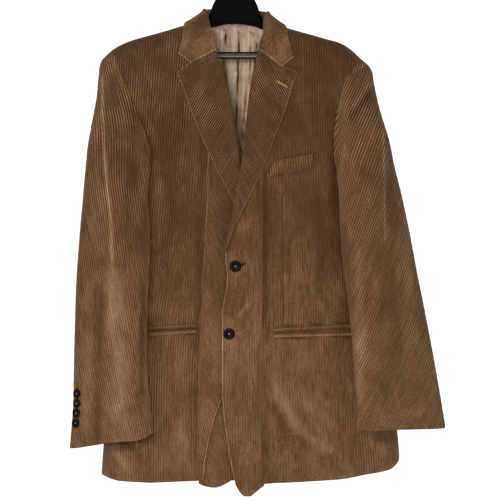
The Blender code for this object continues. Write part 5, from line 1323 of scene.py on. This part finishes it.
def disc(size, rings=30, around=64):
    """A button's points in its own frame: rings from the middle out, over the edge and under."""
    share = np.concatenate([np.linspace(0, 0.42, MIDDLE_RINGS), np.linspace(0.46, 1.0, rings - MIDDLE_RINGS)])
    angle = np.linspace(0, 2 * np.pi, around, endpoint=False)
    x, y = share[:, None] * np.cos(angle), share[:, None] * np.sin(angle)
    high = np.repeat(smooth(share, RIM["at"], RIM["high"])[:, None], around, axis=1)
    for quarter in range(4):
        turn = math.pi / 4 + quarter * math.pi / 2
        away = np.hypot(x - HOLE_SPREAD * math.cos(turn), y - HOLE_SPREAD * math.sin(turn))
        high -= PIT_DEEP * (1 - ease((away - 0.7 * HOLE_RADIUS) / (0.5 * HOLE_RADIUS)))
    top = np.stack([x * size["radius"], y * size["radius"], high * size["thick"]], axis=-1)
    under = [np.stack([k * size["radius"] * np.cos(angle), k * size["radius"] * np.sin(angle),
                       np.full(around, h * size["thick"])], axis=-1)
             for k, h in ((0.96, 0.25), (0.85, 0.0), (0, 0))]
    return np.concatenate([top, under])


def ring_faces(rows, around):
    """Quads between closed rings."""
    index = np.arange(rows * around).reshape(rows, around)
    after = np.roll(index, -1, axis=1)
    return np.stack([index[:-1], index[1:], after[1:], after[:-1]], axis=-1).reshape(-1, 4)


def cord_points(path, radius, sides=6, twist=0.0):
    """Rings of a thin cord along a path, with closed tapering ends; twist makes its radius throb."""
    path = np.array(path, float)
    along = np.gradient(path, axis=0)
    along /= np.linalg.norm(along, axis=1, keepdims=True)
    side = np.cross(along, (0.0, 1.0, 0.0))
    side /= np.maximum(np.linalg.norm(side, axis=1, keepdims=True), TINY)
    up = np.cross(side, along)
    size = np.full(len(path), radius) * (1 + twist * (np.arange(len(path)) % 2))
    size[[0, -1]] = radius * 0.15
    angle = np.linspace(0, 2 * np.pi, sides, endpoint=False)
    ring = side[:, None] * np.cos(angle)[:, None] + up[:, None] * np.sin(angle)[:, None]
    return path[:, None] + ring * size[:, None, None]


def join_cords(name, cords, material):
    """One object of many cords of the same number of sides."""
    points, quads, count = [], [], 0
    for rings in cords:
        quads.append(ring_faces(*rings.shape[:2]) + count)
        points.append(rings.reshape(-1, 3))
        count += len(points[-1])
    mesh = fill_mesh(name, np.concatenate(points), np.concatenate(quads))[0]
    mesh.materials.append(material)
    return finish_piece(bpy.data.objects.new(name, mesh), None)


threads = []
places = [(f"front_button_{place}", FRONT_BUTTON, (0.0, -1.0, 0.0)) for place in ("upper", "lower")]
for side, tag in SIDES:
    for number, z in enumerate(SLEEVE_BUTTON_Z[side], start=1):
        turn = SLEEVE_BUTTON_TURN[side]
        around = tube(side, turn + 1.0, z) - tube(side, turn - 1.0, z)
        down = tube(side, turn, z - 1.0) - tube(side, turn, z + 1.0)
        places.append((f"sleeve_button_{tag}_{number}", SLEEVE_BUTTON, np.cross(around, down) * side))
for node, size, normal in places:
    corners = np.array([list(vertex.co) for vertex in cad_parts[node].data.vertices]) / MM
    level, up, normal = frame_of(normal)
    centre = (corners.min(axis=0) + corners.max(axis=0)) / 2
    centre += normal * ((corners @ normal).min() - centre @ normal)
    local = disc(size)
    points = centre + local[..., :1] * level + local[..., 1:2] * up + local[..., 2:] * normal
    mesh = fill_mesh(node + "_turned", points.reshape(-1, 3), ring_faces(*local.shape[:2]))[0]
    mesh.materials.append(HORN)
    mesh.set_sharp_from_angle(angle=math.radians(60))
    finish_piece(bpy.data.objects.new(node + "_turned", mesh), node)
    reach = HOLE_SPREAD * size["radius"] * math.sqrt(0.5)
    for x, y in ((1, 1), (1, -1)):
        for shift in (-THREAD_APART * 0.7, THREAD_APART * 0.7):
            path = [centre + (x * s * reach - y * shift) * level + (y * s * reach + x * shift) * up
                    + normal * (size["thick"] * 0.7 + 0.45 * (1 - s * s) - 0.5 * s ** 8)
                    for s in np.linspace(-1, 1, 9)]
            threads.append(cord_points(path, THREAD_RADIUS))
join_cords("button_threads", threads, GREY_THREAD)

# %% [markdown]
# ## Stitching
#
# A tailor runs a row of small pick stitches just inside each finished edge. They catch the light as a
# fine dotted line beside the worn edge. The buttonholes are slits with thread worked round them.

# %% Stitches and buttonholes
STITCH_PITCH, STITCH_LONG, STITCH_RADIUS, STITCH_RISE = 2.3, 1.9, 0.3, 0.25
WELT_STITCH = 2.2               # from the breast welt's lower edge to its stitches, mm
HOLE_LIFT, HOLE_HALF, HOLE_CORD = 0.6, 1.1, 0.6   # a hole's height over its cloth, half width, thread, mm


def inset_line(points, edge, inset):
    """The line that runs some way inside one edge of a grid, read along each of its lanes."""
    if edge in ("top", "hem"):
        points = np.swapaxes(points, 0, 1)
    if edge in ("hem", "last"):
        points = points[:, ::-1]
    away = row_arc(points, flat=False)
    return np.array([[np.interp(inset, far, lane[:, axis]) for axis in range(3)]
                     for far, lane in zip(away, points)])


def stitches(line):
    """Short threads along a line: each dips into the cloth at both ends."""
    arc = np.concatenate([[0.0], np.cumsum(np.linalg.norm(np.diff(line, axis=0), axis=1))])
    made = []
    for middle in np.arange(STITCH_PITCH / 2, arc[-1] - STITCH_PITCH / 2, STITCH_PITCH):
        s = middle + STITCH_LONG * np.linspace(-0.5, 0.5, 4)
        path = np.stack([np.interp(s, arc, line[:, axis]) for axis in range(3)], axis=-1)
        path[:, 1] -= STITCH_RISE * np.array((-1.2, 1.0, 1.0, -1.2))
        made.append(cord_points(path, STITCH_RADIUS, sides=4))
    return made


sewn = []
for node, edges, inset in (("lapel_right", ("top", "last"), EDGE_STITCH),
                           ("lapel_left", ("top", "last"), EDGE_STITCH),
                           ("collar", ("top", "hem"), EDGE_STITCH), ("breast_welt", ("hem",), WELT_STITCH)):
    for edge in edges:
        sewn += stitches(inset_line(worked[node], edge, inset))
for side, tag in SIDES:
    line = inset_line(worked["front_" + tag], "last", EDGE_STITCH)
    sewn += stitches(line[line[:, 2] < BREAK_Z])
join_cords("pick_stitches", sewn, BROWN_THREAD)
print("stitches", len(sewn))


def buttonhole(face, start, end):
    """Thread worked round a slit: a closed cord of small loops, and the slit between."""
    start, end = np.array(start, float), np.array(end, float)
    middle, half = (start + end) / 2, np.linalg.norm(end - start) / 2
    along = (end - start) / (2 * half)
    across = np.array([-along[1], along[0]])
    angle = np.linspace(0, 2 * np.pi, 61)
    loop = (middle + np.clip(1.25 * half * np.cos(angle), -half, half)[:, None] * along
            + (HOLE_HALF * np.sin(angle))[:, None] * across)
    slit = middle + np.linspace(-half, half, 9)[:, None] * along
    return (cord_points(on_front(face, loop[:, 0], loop[:, 1], HOLE_LIFT), HOLE_CORD, twist=0.35),
            cord_points(on_front(face, slit[:, 0], slit[:, 1], HOLE_LIFT), HOLE_CORD))


front_face, lapel_face = faces[LEFT]["front"], face_of(lapel_cages[LEFT], RIGHT)
for name, face, start, end, colours in (
        ("upper", front_face, (10, -566), (18, -563), (DARK_THREAD, DARK_THREAD)),
        ("lower", front_face, (-1, -683), (12, -683), (TAN_THREAD, DARK_THREAD)),
        ("lapel", lapel_face, (72, -249), (90, -259), (TAN_THREAD, TAN_THREAD))):
    for part, cord, colour in zip(("thread", "slit"), buttonhole(face, start, end), colours):
        join_cords(f"buttonhole_{name}_{part}", [cord], colour)

# %% [markdown]
# ## Hanger
#
# The hanger's solids have the right shape, so they stay and get their finish: moulded black plastic with a
# fine grain, a black bar whose flat face is painted grey as the reflection of the white room, with a painted
# highlight near its lower edge, and bright wire.

# %% Hanger finishes
moulded, tree, shader = new_material("moulded_black", Roughness=0.6, Specular_IOR_Level=0.03)
place = add_node(tree, "ShaderNodeTexCoord").outputs["Object"]
pores = add_node(tree, "ShaderNodeTexNoise", {"Vector": place},
                 inputs={"Scale": 700.0, "Detail": 3.0}).outputs["Fac"]
tree.links.new(ramp(tree, pores, ((0.3, "#050504"), (0.7, "#0a0a09"))), shader.inputs["Base Color"])
bump = add_node(tree, "ShaderNodeBump", {"Height": pores}, inputs={"Strength": 0.2, "Distance": 0.0004})
tree.links.new(bump.outputs["Normal"], shader.inputs["Normal"])

BAR_TOP, BAR_BOTTOM = -0.197, -0.209      # heights of the bar's two edges, m
polished, tree, shader = new_material("polished_bar", Roughness=0.5, Specular_IOR_Level=0.12)
place = add_node(tree, "ShaderNodeTexCoord").outputs["Object"]
height = add_node(tree, "ShaderNodeSeparateXYZ", {"Vector": place}).outputs["Z"]
across = add_node(tree, "ShaderNodeMapRange", {"Value": height},
                  inputs={"From Min": BAR_BOTTOM, "From Max": BAR_TOP}).outputs["Result"]
# a faint waver along the bar in the band of painted reflection
waver_scale = add_node(tree, "ShaderNodeMapping", {"Vector": place}, inputs={"Scale": (20.0, 300.0, 300.0)})
reflection_waver = add_node(tree, "ShaderNodeTexNoise", {"Vector": waver_scale.outputs[0]},
                   inputs={"Scale": 1.0}).outputs["Fac"]
band = add_node(tree, "ShaderNodeMath", {0: reflection_waver, 2: across}, operation="MULTIPLY_ADD",
                inputs={1: 0.12}).outputs[0]
# painted reflection: black at the bar's two edges, a pale painted highlight near the lower one, and grey
# across the flat face
tree.links.new(ramp(tree, band, ((0.27, "#060606"), (0.35, "#9a958f"), (0.48, "#5d5b59"), (0.76, "#454443"),
                                 (0.86, "#060606"))), shader.inputs["Base Color"])

wire, tree, shader = new_material("bright_wire", Metallic=1.0, Roughness=0.22)
place = add_node(tree, "ShaderNodeTexCoord").outputs["Object"]
drawn = add_node(tree, "ShaderNodeTexNoise", {"Vector": place}, inputs={"Scale": 260.0}).outputs["Fac"]
tree.links.new(ramp(tree, drawn, ((0.3, "#a9a9ac"), (0.7, "#c6c6c8"))), shader.inputs["Base Color"])
for node, material in (("hanger_body", moulded), ("hanger_bar", polished), ("hanger_hook", wire)):
    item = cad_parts[node]
    for slot in item.material_slots:
        slot.material = material

# %% [markdown]
# ## Light, floor and camera
#
# The jacket is shown as in a shop's catalogue: on white, with broad soft light from the front. The
# camera stands level with its middle, far enough away that nothing is foreshortened.

# %% Studio
scene = bpy.context.scene
scene.view_settings.view_transform = "Standard"
world = bpy.data.worlds.new("studio")
world.use_nodes = True
world.node_tree.nodes["Background"].inputs["Color"].default_value = (1.0, 1.0, 1.0, 1.0)
world.node_tree.nodes["Background"].inputs["Strength"].default_value = 0.42
scene.world = world

def paper(name, glow):
    """White paper: nearly even, and with a glow of its own, so that it stays white where no lamp reaches."""
    material, tree, shader = new_material(name, Roughness=0.9, Specular_IOR_Level=0.1,
                                          Emission_Color=(1.0, 1.0, 1.0, 1.0), Emission_Strength=glow)
    grain = add_node(tree, "ShaderNodeTexNoise", inputs={"Scale": 3.0})
    tree.links.new(ramp(tree, grain.outputs["Fac"], ((0.0, "#f6f6f5"), (1.0, "#fbfbfb"))),
                   shader.inputs["Base Color"])
    return material


def sheet_of_paper(name, corners, glow):
    """A flat sheet with the given corners in mm: part of the studio, and not of the jacket."""
    sheet = bpy.data.objects.new(name, fill_mesh(name, np.array(corners), np.array([[0, 1, 2, 3]]))[0])
    sheet.data.materials.append(paper(name, glow))
    bpy.context.scene.collection.objects.link(sheet)


# The wall stands further off than the camera does, so that it never comes between them from behind.
FLOOR_Z, FLOOR_X, FLOOR_FRONT, FLOOR_BACK = -1200.0, 8000.0, -8000.0, 6000.0
WALL_Y, WALL_X, WALL_LOW, WALL_TOP = 20000.0, 2200.0, -2600.0, 1600.0
sheet_of_paper("paper_floor", ((-FLOOR_X, FLOOR_FRONT, FLOOR_Z), (FLOOR_X, FLOOR_FRONT, FLOOR_Z),
                               (FLOOR_X, FLOOR_BACK, FLOOR_Z), (-FLOOR_X, FLOOR_BACK, FLOOR_Z)), 0.6)
sheet_of_paper("paper_wall", ((-WALL_X, WALL_Y, WALL_LOW), (WALL_X, WALL_Y, WALL_LOW),
                              (WALL_X, WALL_Y, WALL_TOP), (-WALL_X, WALL_Y, WALL_TOP)), 0.8)


def soft_light(name, place, size, watts, target=(0.0, 0.0, -0.5)):
    """A square area light that looks at the jacket."""
    lamp = bpy.data.lights.new(name, "AREA")
    lamp.size, lamp.energy = size, watts
    item = bpy.data.objects.new(name, lamp)
    item.location = place
    item.rotation_euler = (Vector(target) - Vector(place)).to_track_quat("-Z", "Y").to_euler()
    scene.collection.objects.link(item)


soft_light("key", (-0.35, -2.8, 0.1), 0.5, 27.0)
soft_light("left", (-1.7, -2.0, -0.1), 1.0, 12.0)
soft_light("right", (1.9, -1.9, -0.5), 1.2, 7.0)

VIEW_HALF, VIEW_FAR = 0.4325, 12.0       # half of the picture's width at the jacket, and the distance, m
VIEW_X, VIEW_Z = 0.02595, -0.53976       # the picture's middle
camera = bpy.data.cameras.new("camera")
camera.angle = 2 * math.atan(VIEW_HALF / VIEW_FAR)
eye = bpy.data.objects.new("camera", camera)
eye.location = (VIEW_X, -VIEW_FAR, VIEW_Z)
eye.rotation_euler = (math.pi / 2, 0.0, 0.0)
scene.collection.objects.link(eye)
scene.camera = eye
